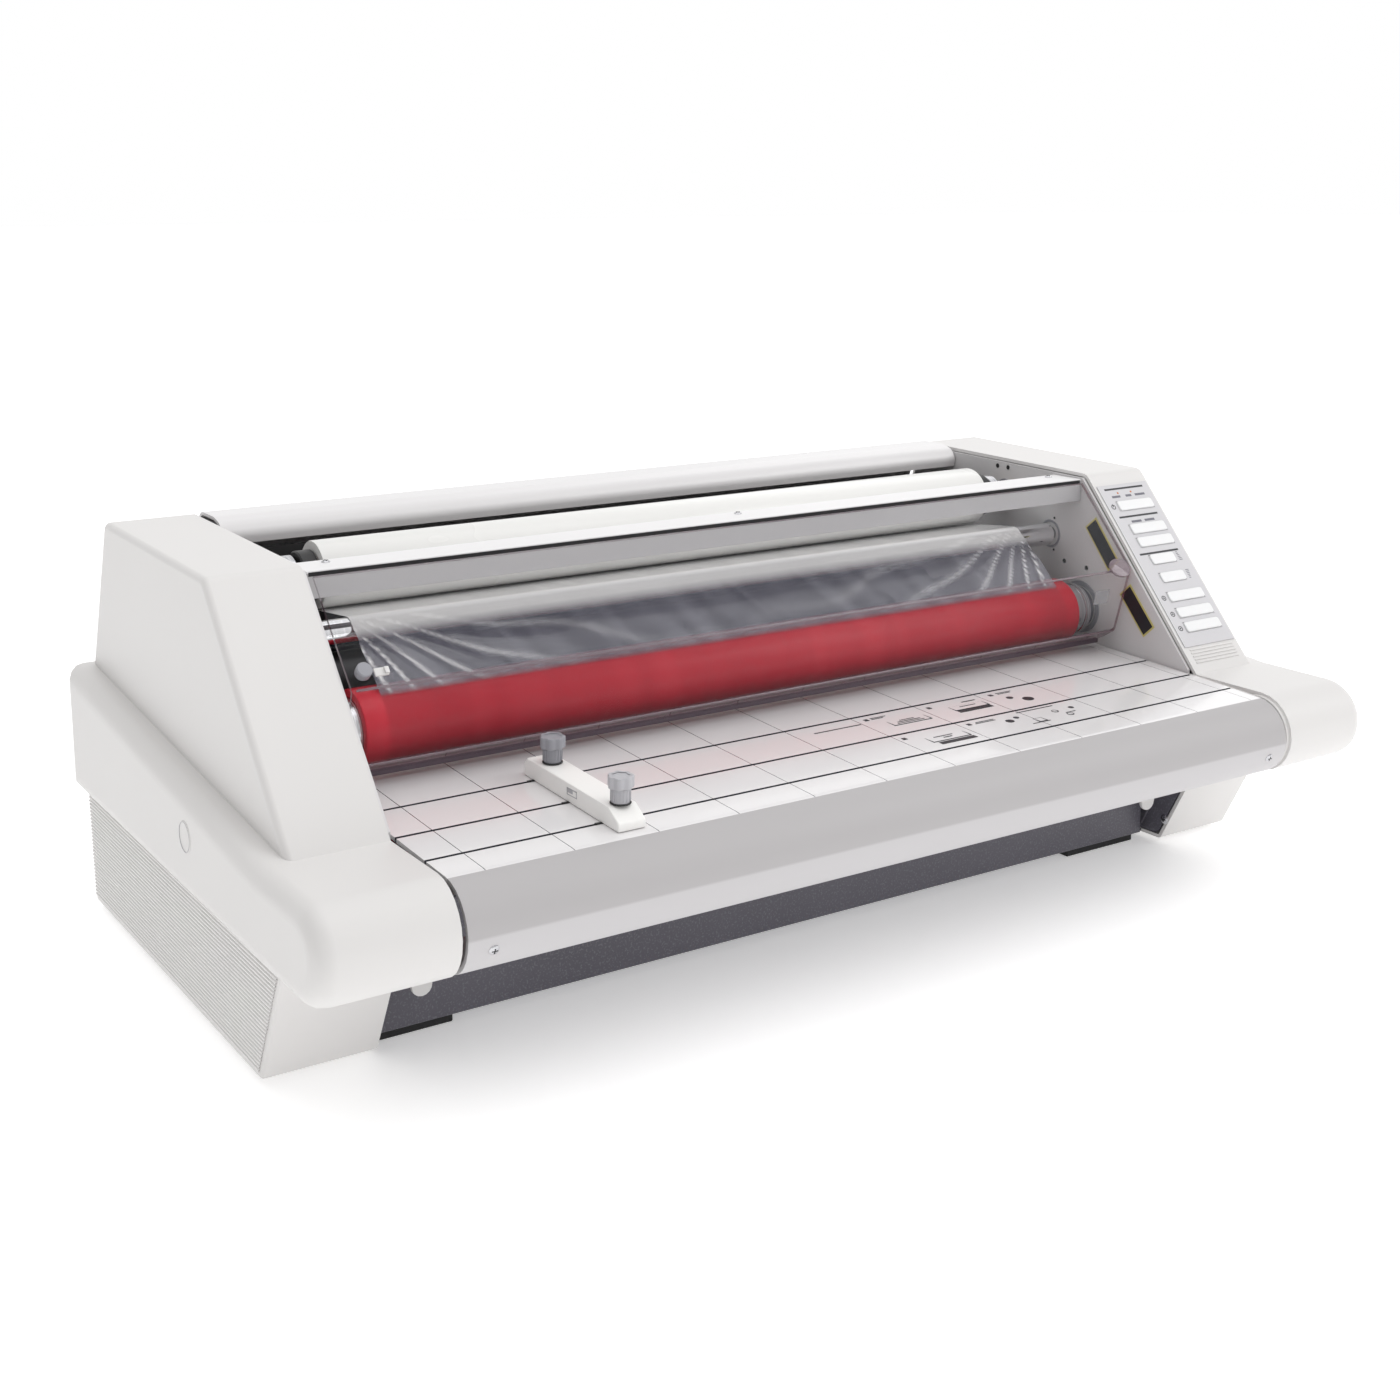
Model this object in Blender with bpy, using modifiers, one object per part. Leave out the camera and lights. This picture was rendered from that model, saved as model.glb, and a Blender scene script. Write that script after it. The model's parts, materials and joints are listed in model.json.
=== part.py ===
"""A 27-inch class thermal roll laminator, built from its separate pieces in metres.

X runs along the rollers, with the control panel at +X.  Y runs from the feed table's
nose at -Y to the exit at +Y, and Z is up.  The origin is under the middle of the machine,
on the surface that its feet stand on.
"""

import math

import bmesh
import bpy
from mathutils import Matrix, Vector

# Widths, as distances from the middle plane
RAIL_HALF_WIDTH = 0.456
BASE_HALF_WIDTH = 0.4445
TOWER_HALF_WIDTH = 0.434
COVER_INNER = 0.365
COVER_WALL = 0.003
FRAME_INNER = 0.362
FRAME_OUTER = 0.3645
BETWEEN_FRAMES = 0.3608

# Side view of the covers and the frames, as (y, z)
TOWER_TOP_FRONT = (-0.0206, 0.310)
TOWER_TOP_REAR = (0.203, 0.3145)
TOWER_REAR_FOOT = (0.2530, 0.196)
SLOPE_FOOT = (-0.155, 0.157)
RAIL_REAR_TOP = (0.2550, 0.1955)
RAIL_REAR_BOTTOM = (0.2535, 0.096)
RAIL_NOSE = (-0.223, 0.125)
RAIL_NOSE_RADIUS = 0.032
RAIL_ROUNDING = 0.014
TOWER_ROUNDING = 0.005
BASE_ROUNDING = 0.003
FRAME_OUTLINE = (
    (-0.0190, 0.3065), (-0.1480, 0.1600), (-0.1480, 0.1030), (-0.1020, 0.0125),
    (0.2400, 0.0125), (0.2480, 0.1900), (0.1985, 0.3110),
)
SLOPE_ANGLE = math.atan2(
    TOWER_TOP_FRONT[1] - SLOPE_FOOT[1], TOWER_TOP_FRONT[0] - SLOPE_FOOT[0]
)

# Rollers
HEAT_RADIUS = 0.0285
HEAT_CORE_RADIUS = 0.0225
ROLLER_HALF = 0.334
UPPER_HEAT = (-0.021, 0.191)
LOWER_HEAT = (-0.021, 0.132)
PULL_RADIUS = 0.018
UPPER_PULL = (0.165, 0.1805)
LOWER_PULL = (0.165, 0.1425)
IDLER_RADIUS = 0.010
UPPER_IDLER = (0.019, 0.251)
LOWER_IDLER = (-0.070, 0.104)
SUPPLY_RADIUS = 0.0253
CORE_HOLE_RADIUS = 0.0135
UPPER_SUPPLY = (0.080, 0.2815)
LOWER_SUPPLY = (-0.050, 0.060)
JOURNAL_RADIUS = 0.010
SMALL_JOURNAL_RADIUS = 0.006
HOLE_CLEARANCE = 0.0008
JOURNAL_END = 0.3675
DRIVEN_END = 0.3915

# Film
FILM_HALF_WIDTH = 0.3175
FILM_THICKNESS = 0.0004
FILM_OFFSET = 0.0006
FILM_END = 0.236

# Feed table, edge guide and shield
TABLE_HALF_WIDTH = 0.3606
TABLE_THICKNESS = 0.003
TABLE_SLOPE = 0.04
TABLE_REAR = -0.040
TABLE_NOSE_Y = -0.223
TABLE_NOSE_RADIUS = 0.0305
TABLE_LIP_END = -0.185
GROOVES = (-0.196, -0.1525, -0.104)
GROOVE_WIDTH = 0.0024
GROOVE_DEPTH = 0.0014
LATCH_X = 0.3365
LATCH_Y = -0.1315
LATCH_PIVOT_HEIGHT = 0.078
LATCH_REACH = 0.0325
LATCH_RADIUS = 0.0075
LATCH_HALF_THICKNESS = 0.0015
LATCH_POST_RADIUS = 0.004
LATCH_POST_LENGTH = 0.0237
GUIDE_X = -0.2255
GUIDE_WIDTH = 0.021
GUIDE_HEIGHT = 0.0135
GUIDE_REAR = -0.090
GUIDE_FRONT = -0.2175
GUIDE_KNOBS = {"guide_knob_rear": -0.1125, "guide_knob_front": -0.203}
SHIELD_HALF_WIDTH = 0.3580
SHIELD_THICKNESS = 0.0025
SHIELD_LINE = ((-0.0225, 0.3020), (-0.083, 0.236), (-0.0665, 0.1795), (-0.0485, 0.1682))
SHIELD_KNOB_X = -0.348
SHIELD_KNOB_DISTANCE = 0.079

# Control panel, measured down the slope from the top of the right-hand tower
LABEL_X = (0.368, 0.4285)
LABEL_ALONG = (0.0145, 0.1785)
LABEL_HEIGHTS = (0.0002, 0.0008)
BUTTON_HEIGHTS = (-0.0042, 0.0022)
BUTTON_LENGTH = 0.0095
BUTTON_CLEARANCE = 0.0004
BUTTONS = (
    # name, middle x, distance down the slope, width
    ("power_button", 0.4010, 0.0369, 0.042),
    ("gauge_button_thin", 0.4010, 0.0612, 0.042),
    ("gauge_button_thick", 0.4010, 0.0749, 0.042),
    ("fast_button", 0.3979, 0.0931, 0.0287),
    ("slow_button", 0.3979, 0.1116, 0.0287),
    ("reverse_button", 0.4010, 0.1306, 0.042),
    ("run_button", 0.4010, 0.1466, 0.042),
    ("stop_button", 0.4010, 0.1608, 0.042),
)

# Drive train, outside the right-hand frame
GEAR_TEETH = 24
GEAR_PITCH_RADIUS = (UPPER_HEAT[1] - LOWER_HEAT[1]) / 2
GEAR_X = (0.3705, 0.3785)
CHAIN_X = (0.3840, 0.3880)
CHAIN_THICKNESS = 0.004
CHAIN_CLEARANCE = 0.0006
MOTOR_CENTRE = (0.085, 0.070)
MOTOR_RADIUS = 0.033
HEAT_SPROCKET = 0.0220
PULL_SPROCKET = HEAT_SPROCKET * PULL_RADIUS / HEAT_RADIUS
MOTOR_SPROCKET = 0.0130

# Rear connections
REAR_PANEL_Y = (0.2430, 0.2455)
INLET_CENTRE = (-0.300, 0.060)
SWITCH_CENTRE = (-0.256, 0.060)
RESET_CENTRE = (-0.226, 0.060)
RESET_RADIUS = 0.005

FLOOR_PAN = (0.0066, 0.0086)
FOOT_TOP = 0.0063
CLEARANCE = 0.0003

FINISHES = {
    # colour, roughness, metallic, transmission
    "white plastic": ((0.86, 0.86, 0.85), 0.45, 0.0, 0.0),
    "grey paint": ((0.48, 0.47, 0.48), 0.45, 0.0, 0.0),
    "pale paint": ((0.74, 0.72, 0.75), 0.35, 0.0, 0.0),
    "dark paint": ((0.10, 0.10, 0.11), 0.60, 0.0, 0.0),
    "red silicone": ((0.45, 0.01, 0.015), 0.35, 0.0, 0.0),
    "grey rubber": ((0.25, 0.25, 0.26), 0.70, 0.0, 0.0),
    "black rubber": ((0.02, 0.02, 0.02), 0.70, 0.0, 0.0),
    "polished steel": ((0.72, 0.72, 0.74), 0.15, 1.0, 0.0),
    "clear plastic": ((0.95, 0.96, 0.96), 0.05, 0.0, 1.0),
    "film": ((0.85, 0.85, 0.88), 0.12, 0.0, 0.7),
    "wound film": ((0.85, 0.84, 0.82), 0.30, 0.0, 0.0),
    "black plastic": ((0.02, 0.02, 0.022), 0.50, 0.0, 0.0),
    "grey label": ((0.66, 0.66, 0.72), 0.40, 0.0, 0.0),
    "button plastic": ((0.85, 0.84, 0.80), 0.50, 0.0, 0.0),
    "knob grey": ((0.38, 0.39, 0.42), 0.45, 0.0, 0.0),
    "circuit board": ((0.02, 0.20, 0.08), 0.50, 0.0, 0.0),
}


def clear_scene():
    for old in list(bpy.data.objects):
        bpy.data.objects.remove(old)


def new_collection(name):
    collection = bpy.data.collections.new(name)
    bpy.context.scene.collection.children.link(collection)
    return collection


def material(name, finish):
    colour, roughness, metallic, transmission = FINISHES[finish]
    made = bpy.data.materials.new(name)
    made.use_nodes = True
    shader = made.node_tree.nodes["Principled BSDF"]
    shader.inputs["Base Color"].default_value = (*colour, 1.0)
    shader.inputs["Roughness"].default_value = roughness
    shader.inputs["Metallic"].default_value = metallic
    shader.inputs["Transmission Weight"].default_value = transmission
    return made


clear_scene()
PARTS = new_collection("roll_laminator")
CUTTERS = new_collection("roll_laminator_cutters")


# Ways of making shapes


def add_object(name, mesh, finish):
    """A named piece with its own material, or a cutter when it has no finish."""
    made = bpy.data.objects.new(name, mesh)
    if finish is None:
        CUTTERS.objects.link(made)
        made.hide_render = True
        made.display_type = "WIRE"
    else:
        PARTS.objects.link(made)
        made.data.materials.append(material(name, finish))
    return made


def finished(name, shape, finish):
    bmesh.ops.recalc_face_normals(shape, faces=shape.faces)
    mesh = bpy.data.meshes.new(name)
    shape.to_mesh(mesh)
    shape.free()
    return add_object(name, mesh, finish)


def stacked_loops(name, loops, finish):
    """A solid through closed loops of points, with a flat face at each end."""
    shape = bmesh.new()
    rings = [[shape.verts.new(point) for point in loop] for loop in loops]
    for near, far in zip(rings, rings[1:]):
        for i in range(len(near)):
            shape.faces.new((near[i - 1], near[i], far[i], far[i - 1]))
    shape.faces.new(rings[0])
    shape.faces.new(rings[-1])
    return finished(name, shape, finish)


def prism(name, outline, start_x, end_x, finish, centre=(0.0, 0.0)):
    """A side-view outline drawn out along X; its points are measured from its centre."""
    loops = [[(x, y, z) for y, z in outline] for x in (start_x, end_x)]
    made = stacked_loops(name, loops, finish)
    made.location = (0.0, *centre)
    return made


def rounded_prism(name, outline, start_x, end_x, rounding, finish, segments=4):
    """A prism whose outer rim, at end_x, is rounded over."""
    side = math.copysign(1.0, end_x)
    loops = [[(start_x, y, z) for y, z in outline]]
    for i in range(segments + 1):
        angle = math.radians(90 * i / segments)
        x = end_x - side * rounding * (1 - math.sin(angle))
        inner = moved_inwards(outline, rounding * (1 - math.cos(angle)))
        loops.append([(x, y, z) for y, z in inner])
    return stacked_loops(name, loops, finish)


def boxes(name, corners, finish, frame=None):
    """One or more boxes in one mesh, each from its low and high corners."""
    shape = bmesh.new()
    for low, high in corners:
        size = Vector(high) - Vector(low)
        middle = (Vector(high) + Vector(low)) / 2
        place = Matrix.Translation(middle) @ Matrix.Diagonal((*size, 1.0))
        bmesh.ops.create_cube(shape, size=1.0, matrix=place)
    made = finished(name, shape, finish)
    if frame is not None:
        made.matrix_world = frame
    return made


def cylinders(name, circles, start, end, direction="X", steps=24):
    """A cutter of cylinders along X or Y; each circle is (the other two places, radius)."""
    shape = bmesh.new()
    middle = (start + end) / 2
    for first, second, radius in circles:
        if direction == "X":
            place = Matrix.Translation((middle, first, second))
            turn = Matrix.Rotation(math.pi / 2, 4, "Y")
        else:
            place = Matrix.Translation((first, middle, second))
            turn = Matrix.Rotation(math.pi / 2, 4, "X")
        bmesh.ops.create_cone(
            shape, cap_ends=True, segments=steps, radius1=radius, radius2=radius,
            depth=end - start, matrix=place @ turn,
        )
    return finished(name, shape, None)


def turned(name, profile, origin, finish, direction=(1, 0, 0), steps=24, closed=False):
    """A piece turned about a line through origin; profile is (along, radius) points."""
    mesh = bpy.data.meshes.new(name)
    shape = bmesh.new()
    points = [shape.verts.new((radius, 0.0, along)) for along, radius in profile]
    ends = points[1:] + points[:1] if closed else points[1:]
    for first, second in zip(points, ends):
        shape.edges.new((first, second))
    shape.to_mesh(mesh)
    shape.free()
    made = add_object(name, mesh, finish)
    made.location = origin
    made.rotation_euler = Vector(direction).to_track_quat("Z", "Y").to_euler()
    screw = made.modifiers.new("Screw", "SCREW")
    screw.steps = steps
    screw.render_steps = steps
    screw.use_merge_vertices = True
    screw.merge_threshold = 0.00001
    screw.use_smooth_shade = True
    return made


def rod(name, sections, centre, finish, steps=24):
    """A stepped rod along X: (start x, end x, radius) sections, from -X to +X."""
    profile = [(sections[-1][1], 0.0)]
    for start, end, radius in reversed(sections):
        profile.append((end, radius))
        profile.append((start, radius))
    profile.append((sections[0][0], 0.0))
    return turned(name, profile, (0.0, *centre), finish, steps=steps)


def sleeve(name, start, end, outer, inner, centre, finish, steps=24):
    profile = [(end, inner), (end, outer), (start, outer), (start, inner)]
    return turned(name, profile, (0.0, *centre), finish, steps=steps, closed=True)


def strip(name, line, half_width, thickness, finish, centre=(0.0, 0.0)):
    """A bent sheet: an open side-view line drawn out along X and made thick."""
    shape = bmesh.new()
    points = [shape.verts.new((-half_width, y - centre[0], z - centre[1])) for y, z in line]
    edges = [shape.edges.new(pair) for pair in zip(points, points[1:])]
    drawn = bmesh.ops.extrude_edge_only(shape, edges=edges)
    far = [item for item in drawn["geom"] if isinstance(item, bmesh.types.BMVert)]
    bmesh.ops.translate(shape, verts=far, vec=(2 * half_width, 0, 0))
    made = finished(name, shape, finish)
    made.location = (0.0, *centre)
    solid = made.modifiers.new("Solidify", "SOLIDIFY")
    solid.thickness = thickness
    solid.offset = 0.0
    solid.use_even_offset = True
    return made


def boolean(piece, other, operation="DIFFERENCE"):
    step = piece.modifiers.new(other.name, "BOOLEAN")
    step.operation = operation
    step.solver = "EXACT"
    step.object = other


def bevel(piece, width, segments=2, angle=40):
    step = piece.modifiers.new("Bevel", "BEVEL")
    step.width = width
    step.segments = segments
    step.limit_method = "ANGLE"
    step.angle_limit = math.radians(angle)


# Side-view geometry


def arc(centre, radius, start, end, count):
    """Points on an arc, with its angles in degrees from +Y towards +Z."""
    points = []
    for i in range(count + 1):
        angle = math.radians(start + (end - start) * i / count)
        across = centre[0] + radius * math.cos(angle)
        points.append((across, centre[1] + radius * math.sin(angle)))
    return points


def moved_inwards(points, distance):
    """An anticlockwise outline with every side moved inwards by the same distance."""
    moved = []
    for i, point in enumerate(points):
        before = (Vector(point) - Vector(points[i - 1])).normalized()
        after = (Vector(points[(i + 1) % len(points)]) - Vector(point)).normalized()
        middle = Vector((-before.y - after.y, before.x + after.x)).normalized()
        reach = distance / middle.dot(Vector((-before.y, before.x)))
        moved.append(tuple(Vector(point) + middle * reach))
    return moved


def rounded_corners(points, radii, count=3):
    """The outline with the corners listed in radii, by their position, cut to arcs."""
    outline = []
    for i, point in enumerate(points):
        if i not in radii:
            outline.append(point)
            continue
        corner = Vector(point)
        back = (Vector(points[i - 1]) - corner).normalized()
        on = (Vector(points[(i + 1) % len(points)]) - corner).normalized()
        half = back.angle(on) / 2
        centre = corner + (back + on).normalized() * (radii[i] / math.sin(half))
        first = corner + back * (radii[i] / math.tan(half)) - centre
        last = corner + on * (radii[i] / math.tan(half)) - centre
        start = math.degrees(math.atan2(first.y, first.x))
        turn = (math.degrees(math.atan2(last.y, last.x)) - start + 180) % 360 - 180
        outline += arc(centre, radii[i], start, start + turn, count)
    return outline


def table_height(y):
    """Height of the feed surface."""
    return SLOPE_FOOT[1] + TABLE_SLOPE * (y - SLOPE_FOOT[0])


def slope_frame(x=0.0, along=0.0):
    """A frame on the slope: X across, Y up the slope and Z out of it."""
    y = TOWER_TOP_FRONT[0] - along * math.cos(SLOPE_ANGLE)
    z = TOWER_TOP_FRONT[1] - along * math.sin(SLOPE_ANGLE)
    return Matrix.Translation((x, y, z)) @ Matrix.Rotation(SLOPE_ANGLE, 4, "X")


def tangent(first, second):
    """Where a band leaves one circle and meets the next.

    Each circle is (centre, radius, side); side is 1 when its centre lies to the left of
    the way the band runs, and -1 when it lies to the right.
    """
    between = Vector(second[0]) - Vector(first[0])
    along = between.normalized()
    across = Vector((-along.y, along.x))
    lean = (second[2] * second[1] - first[2] * first[1]) / between.length
    normal = along * lean + across * math.sqrt(1 - lean * lean)
    leave = Vector(first[0]) - normal * (first[2] * first[1])
    return leave, Vector(second[0]) - normal * (second[2] * second[1])


def wrap(circle, start, end, step=12.0):
    """Points round a circle from start to end, the way its side says."""
    centre, radius, side = circle
    first = math.degrees(math.atan2(start[1] - centre[1], start[0] - centre[0]))
    last = math.degrees(math.atan2(end[1] - centre[1], end[0] - centre[0]))
    turn = ((last - first) * side) % 360 * side
    return arc(centre, radius, first, first + turn, max(1, round(abs(turn) / step)))


def web_line(circles, end_y):
    """A film's path off the first circle, round the rest and out level to end_y."""
    leave, meet = tangent(circles[0], circles[1])
    line = [tuple(leave)]
    for here, beyond in zip(circles[1:], circles[2:]):
        leave, next_meet = tangent(here, beyond)
        line += wrap(here, meet, leave)
        meet = next_meet
    centre, radius, side = circles[-1]
    last = (centre[0], centre[1] - side * radius)
    line += wrap(circles[-1], meet, last)
    line.append((end_y, last[1]))
    return line


def closed_band(circles):
    """An outline round several circles, anticlockwise."""
    outline = []
    for i, circle in enumerate(circles):
        arrive = tangent(circles[i - 1], circle)[1]
        leave = tangent(circle, circles[(i + 1) % len(circles)])[0]
        outline += wrap(circle, arrive, leave)
    return outline


# Side covers


def tower_outline():
    slope = Vector(SLOPE_FOOT) - Vector(TOWER_TOP_FRONT)
    below = tuple(Vector(TOWER_TOP_FRONT) + slope * 1.06)
    sharp = [TOWER_TOP_FRONT, below, (-0.120, 0.130), (0.235, 0.130), TOWER_REAR_FOOT,
             TOWER_TOP_REAR]
    return rounded_corners(sharp, {0: 0.010, 5: 0.006})


def rail_outline():
    nose = arc(RAIL_NOSE, RAIL_NOSE_RADIUS, 90, 270, 12)
    return [SLOPE_FOOT, *nose, RAIL_REAR_BOTTOM, RAIL_REAR_TOP]


def base_outline():
    sharp = [(-0.1745, 0.105), (-0.122, 0.004), (0.245, 0.004), (0.2510, 0.110)]
    return rounded_corners(sharp, {1: 0.004, 2: 0.004})


COVER_BLOCKS = (
    # name, outline, outer half width, rounding of the outer rim
    ("rail", rail_outline(), RAIL_HALF_WIDTH, RAIL_ROUNDING),
    ("tower", tower_outline(), TOWER_HALF_WIDTH, TOWER_ROUNDING),
    ("base", base_outline(), BASE_HALF_WIDTH, BASE_ROUNDING),
)


def side_cover(name, side):
    """A hollow plastic cover, open towards the frame that it is fixed to."""
    cover = None
    hollows = []
    for i, (block, outline, half_width, rounding) in enumerate(COVER_BLOCKS):
        start = side * (COVER_INNER - 0.002 - 0.0005 * i)
        block_name = name if cover is None else f"{name}_{block}"
        finish = "white plastic" if cover is None else None
        solid = rounded_prism(
            block_name, outline, start, side * half_width, rounding, finish
        )
        hollows.append(rounded_prism(
            f"{name}_{block}_hollow", moved_inwards(outline, COVER_WALL),
            side * (COVER_INNER - 0.006 - 0.0005 * i), side * (half_width - COVER_WALL),
            max(rounding - COVER_WALL, 0.0005), None,
        ))
        if cover is None:
            cover = solid
        else:
            boolean(cover, solid, "UNION")
    low, high = sorted((side * (COVER_INNER - 0.05), side * COVER_INNER))
    hollows.append(boxes(
        f"{name}_trim", [((low, -0.35, -0.05), (high, 0.35, 0.40))], None
    ))
    for hollow in hollows:
        boolean(cover, hollow)
    return cover


def button_room(name, depth, height):
    """A cutter with a hole for each button, between two levels of the slope."""
    holes = []
    for _, x, along, width in BUTTONS:
        across = width / 2 + BUTTON_CLEARANCE
        half = BUTTON_LENGTH / 2 + BUTTON_CLEARANCE
        holes.append(((x - across, -along - half, depth), (x + across, half - along, height)))
    return boxes(name, holes, None, slope_frame())


def left_side_cover():
    side_cover("left_side_cover", -1)


def right_side_cover():
    cover = side_cover("right_side_cover", 1)
    boolean(cover, button_room("right_side_cover_button_holes", -0.010, 0.010))


# Frame, panels and feet


def frame_plate(name, side):
    """A steel side plate with a bearing hole for each shaft that it carries."""
    plate = prism(name, FRAME_OUTLINE, side * FRAME_INNER, side * FRAME_OUTER, "grey paint")
    holes = [(*centre, JOURNAL_RADIUS + HOLE_CLEARANCE) for centre in (UPPER_HEAT, LOWER_HEAT)]
    small = [UPPER_PULL, LOWER_PULL, UPPER_IDLER, LOWER_IDLER, UPPER_SUPPLY, LOWER_SUPPLY]
    if side > 0:
        small.append(MOTOR_CENTRE)
    holes += [(*centre, SMALL_JOURNAL_RADIUS + HOLE_CLEARANCE) for centre in small]
    ends = sorted((side * (FRAME_INNER - 0.01), side * (FRAME_OUTER + 0.01)))
    boolean(plate, cylinders(f"{name}_holes", holes, *ends))


def left_side_frame():
    frame_plate("left_side_frame", -1)


def right_side_frame():
    frame_plate("right_side_frame", 1)


def base_plate():
    corners = [((-BETWEEN_FRAMES, -0.1040, FLOOR_PAN[0]), (BETWEEN_FRAMES, 0.2420, FLOOR_PAN[1]))]
    boxes("base_plate", corners, "dark paint")


def front_lower_panel():
    panel = boxes(
        "front_lower_panel", [((-0.3600, -0.1075, 0.0070), (0.3560, -0.1052, 0.0905))],
        "dark paint",
    )
    bevel(panel, 0.0005, 1)


def rear_top_cover():
    line = [(0.1520, 0.2972), (0.1503, 0.3045), (0.1550, 0.3105), (0.1660, 0.3143),
            (0.1860, 0.3153), (0.2010, 0.3125), (0.2080, 0.3050), (0.2470, 0.2065)]
    strip("rear_top_cover", line, BETWEEN_FRAMES, 0.0025, "pale paint")


def rear_panel():
    corners = [((-BETWEEN_FRAMES, REAR_PANEL_Y[0], 0.0092), (BETWEEN_FRAMES, REAR_PANEL_Y[1], 0.2035))]
    panel = boxes("rear_panel", corners, "dark paint")
    inlet_x, inlet_z = INLET_CENTRE
    switch_x, switch_z = SWITCH_CENTRE
    near, far = REAR_PANEL_Y[0] - 0.01, REAR_PANEL_Y[1] + 0.01
    rooms = [
        ((-0.330, near, 0.1500), (0.330, far, 0.1750)),
        ((inlet_x - 0.0143, near, inlet_z - 0.0123), (inlet_x + 0.0143, far, inlet_z + 0.0123)),
        ((switch_x - 0.0079, near, switch_z - 0.0112), (switch_x + 0.0079, far, switch_z + 0.0112)),
    ]
    boolean(panel, boxes("rear_panel_openings", rooms, None))
    reset = [(*RESET_CENTRE, RESET_RADIUS + 0.0004)]
    boolean(panel, cylinders("rear_panel_reset_hole", reset, near, far, "Y"))


def front_crossbar():
    line = [(-0.0173, 0.2860), (-0.0173, 0.3045), (0.0140, 0.3045), (0.0140, 0.2920)]
    strip("front_crossbar", line, BETWEEN_FRAMES, 0.0020, "pale paint")


def inner_baffle():
    line = [(0.1490, 0.2925), (0.1490, 0.2080), (0.2200, 0.2080)]
    strip("inner_baffle", line, BETWEEN_FRAMES, 0.0020, "black plastic")


def feet():
    places = {
        "foot_front_left": ((-0.3600, -0.1035), (-0.3010, -0.0850)),
        "foot_front_right": ((0.2730, -0.1035), (0.3500, -0.0850)),
        "foot_rear_left": ((-0.3600, 0.2150), (-0.3010, 0.2350)),
        "foot_rear_right": ((0.2730, 0.2150), (0.3500, 0.2350)),
    }
    for name, (low, high) in places.items():
        foot = boxes(name, [((*low, 0.0), (*high, FOOT_TOP))], "black rubber")
        bevel(foot, 0.0008, 1)


# Film supply and the rollers


def heat_roller(position, centre, end):
    """A steel core in a silicone sleeve; the end at +X carries the drive."""
    core = HEAT_CORE_RADIUS
    sections = [
        (-JOURNAL_END, -0.3600, JOURNAL_RADIUS), (-0.3600, -0.3500, core - 0.004),
        (-0.3500, 0.3500, core), (0.3500, 0.3600, core - 0.004), (0.3600, end, JOURNAL_RADIUS),
    ]
    rod(f"{position}_heat_core", sections, centre, "polished steel")
    sleeve(
        f"{position}_heat_sleeve", -ROLLER_HALF, ROLLER_HALF, HEAT_RADIUS,
        core + CLEARANCE, centre, "red silicone", steps=36,
    )


def pull_roller(name, centre, end):
    journal = SMALL_JOURNAL_RADIUS
    sections = [(-JOURNAL_END, -ROLLER_HALF, journal), (-ROLLER_HALF, ROLLER_HALF, PULL_RADIUS),
                (ROLLER_HALF, end, journal)]
    rod(name, sections, centre, "grey rubber")


def idler_bar(name, centre):
    journal = SMALL_JOURNAL_RADIUS
    sections = [(-JOURNAL_END, -0.3580, journal), (-0.3580, 0.3580, IDLER_RADIUS),
                (0.3580, JOURNAL_END, journal)]
    rod(name, sections, centre, "polished steel")


def film_supply(position, centre):
    """A roll of film on its tube, and the mandrel that grips it."""
    sleeve(
        f"{position}_film_roll", -FILM_HALF_WIDTH, FILM_HALF_WIDTH, SUPPLY_RADIUS,
        CORE_HOLE_RADIUS, centre, "wound film", steps=36,
    )
    journal = SMALL_JOURNAL_RADIUS
    right = [(0.3182, 0.3310, 0.0190), (0.3310, 0.3340, 0.0120), (0.3340, 0.3430, 0.0165),
             (0.3430, 0.3600, 0.0080), (0.3600, JOURNAL_END, journal)]
    left = [(-end, -start, radius) for start, end, radius in reversed(right)]
    sections = [*left, (-0.3182, 0.3182, CORE_HOLE_RADIUS - CLEARANCE), *right]
    rod(f"{position}_mandrel", sections, centre, "black plastic")


def film_web(name, circles):
    """The film from its supply roll, round an idler and a heated roller, to the exit."""
    spaced = [(centre, radius + FILM_OFFSET, side) for centre, radius, side in circles]
    strip(name, web_line(spaced, FILM_END), FILM_HALF_WIDTH, FILM_THICKNESS, "film")


def film_webs():
    upper = [(UPPER_SUPPLY, SUPPLY_RADIUS, -1), (UPPER_IDLER, IDLER_RADIUS, 1),
             (UPPER_HEAT, HEAT_RADIUS, 1)]
    film_web("upper_film_web", upper)
    lower = [(LOWER_SUPPLY, SUPPLY_RADIUS, -1), (LOWER_IDLER, IDLER_RADIUS, -1),
             (LOWER_HEAT, HEAT_RADIUS, -1)]
    film_web("lower_film_web", lower)


# Drive train


def gear_outline(phase):
    """Teeth with straight flanks and some play, the first at phase teeth round."""
    pitch = 360 / GEAR_TEETH
    module = 2 * GEAR_PITCH_RADIUS / GEAR_TEETH
    root = GEAR_PITCH_RADIUS - 1.05 * module
    tip = GEAR_PITCH_RADIUS + 0.85 * module
    outline = []
    for tooth in range(GEAR_TEETH):
        middle = (tooth + phase) * pitch
        for radius, lean in ((root, -0.345), (tip, -0.095), (tip, 0.095), (root, 0.345)):
            angle = math.radians(middle + lean * pitch)
            outline.append((radius * math.cos(angle), radius * math.sin(angle)))
    return outline


def gear(name, centre, phase):
    wheel = prism(name, gear_outline(phase), *GEAR_X, "black plastic", centre)
    bore = [(*centre, JOURNAL_RADIUS + CLEARANCE)]
    boolean(wheel, cylinders(f"{name}_bore", bore, GEAR_X[0] - 0.01, GEAR_X[1] + 0.01))


def drive_gears():
    gear("upper_drive_gear", UPPER_HEAT, 0.0)
    gear("lower_drive_gear", LOWER_HEAT, 0.5)


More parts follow.
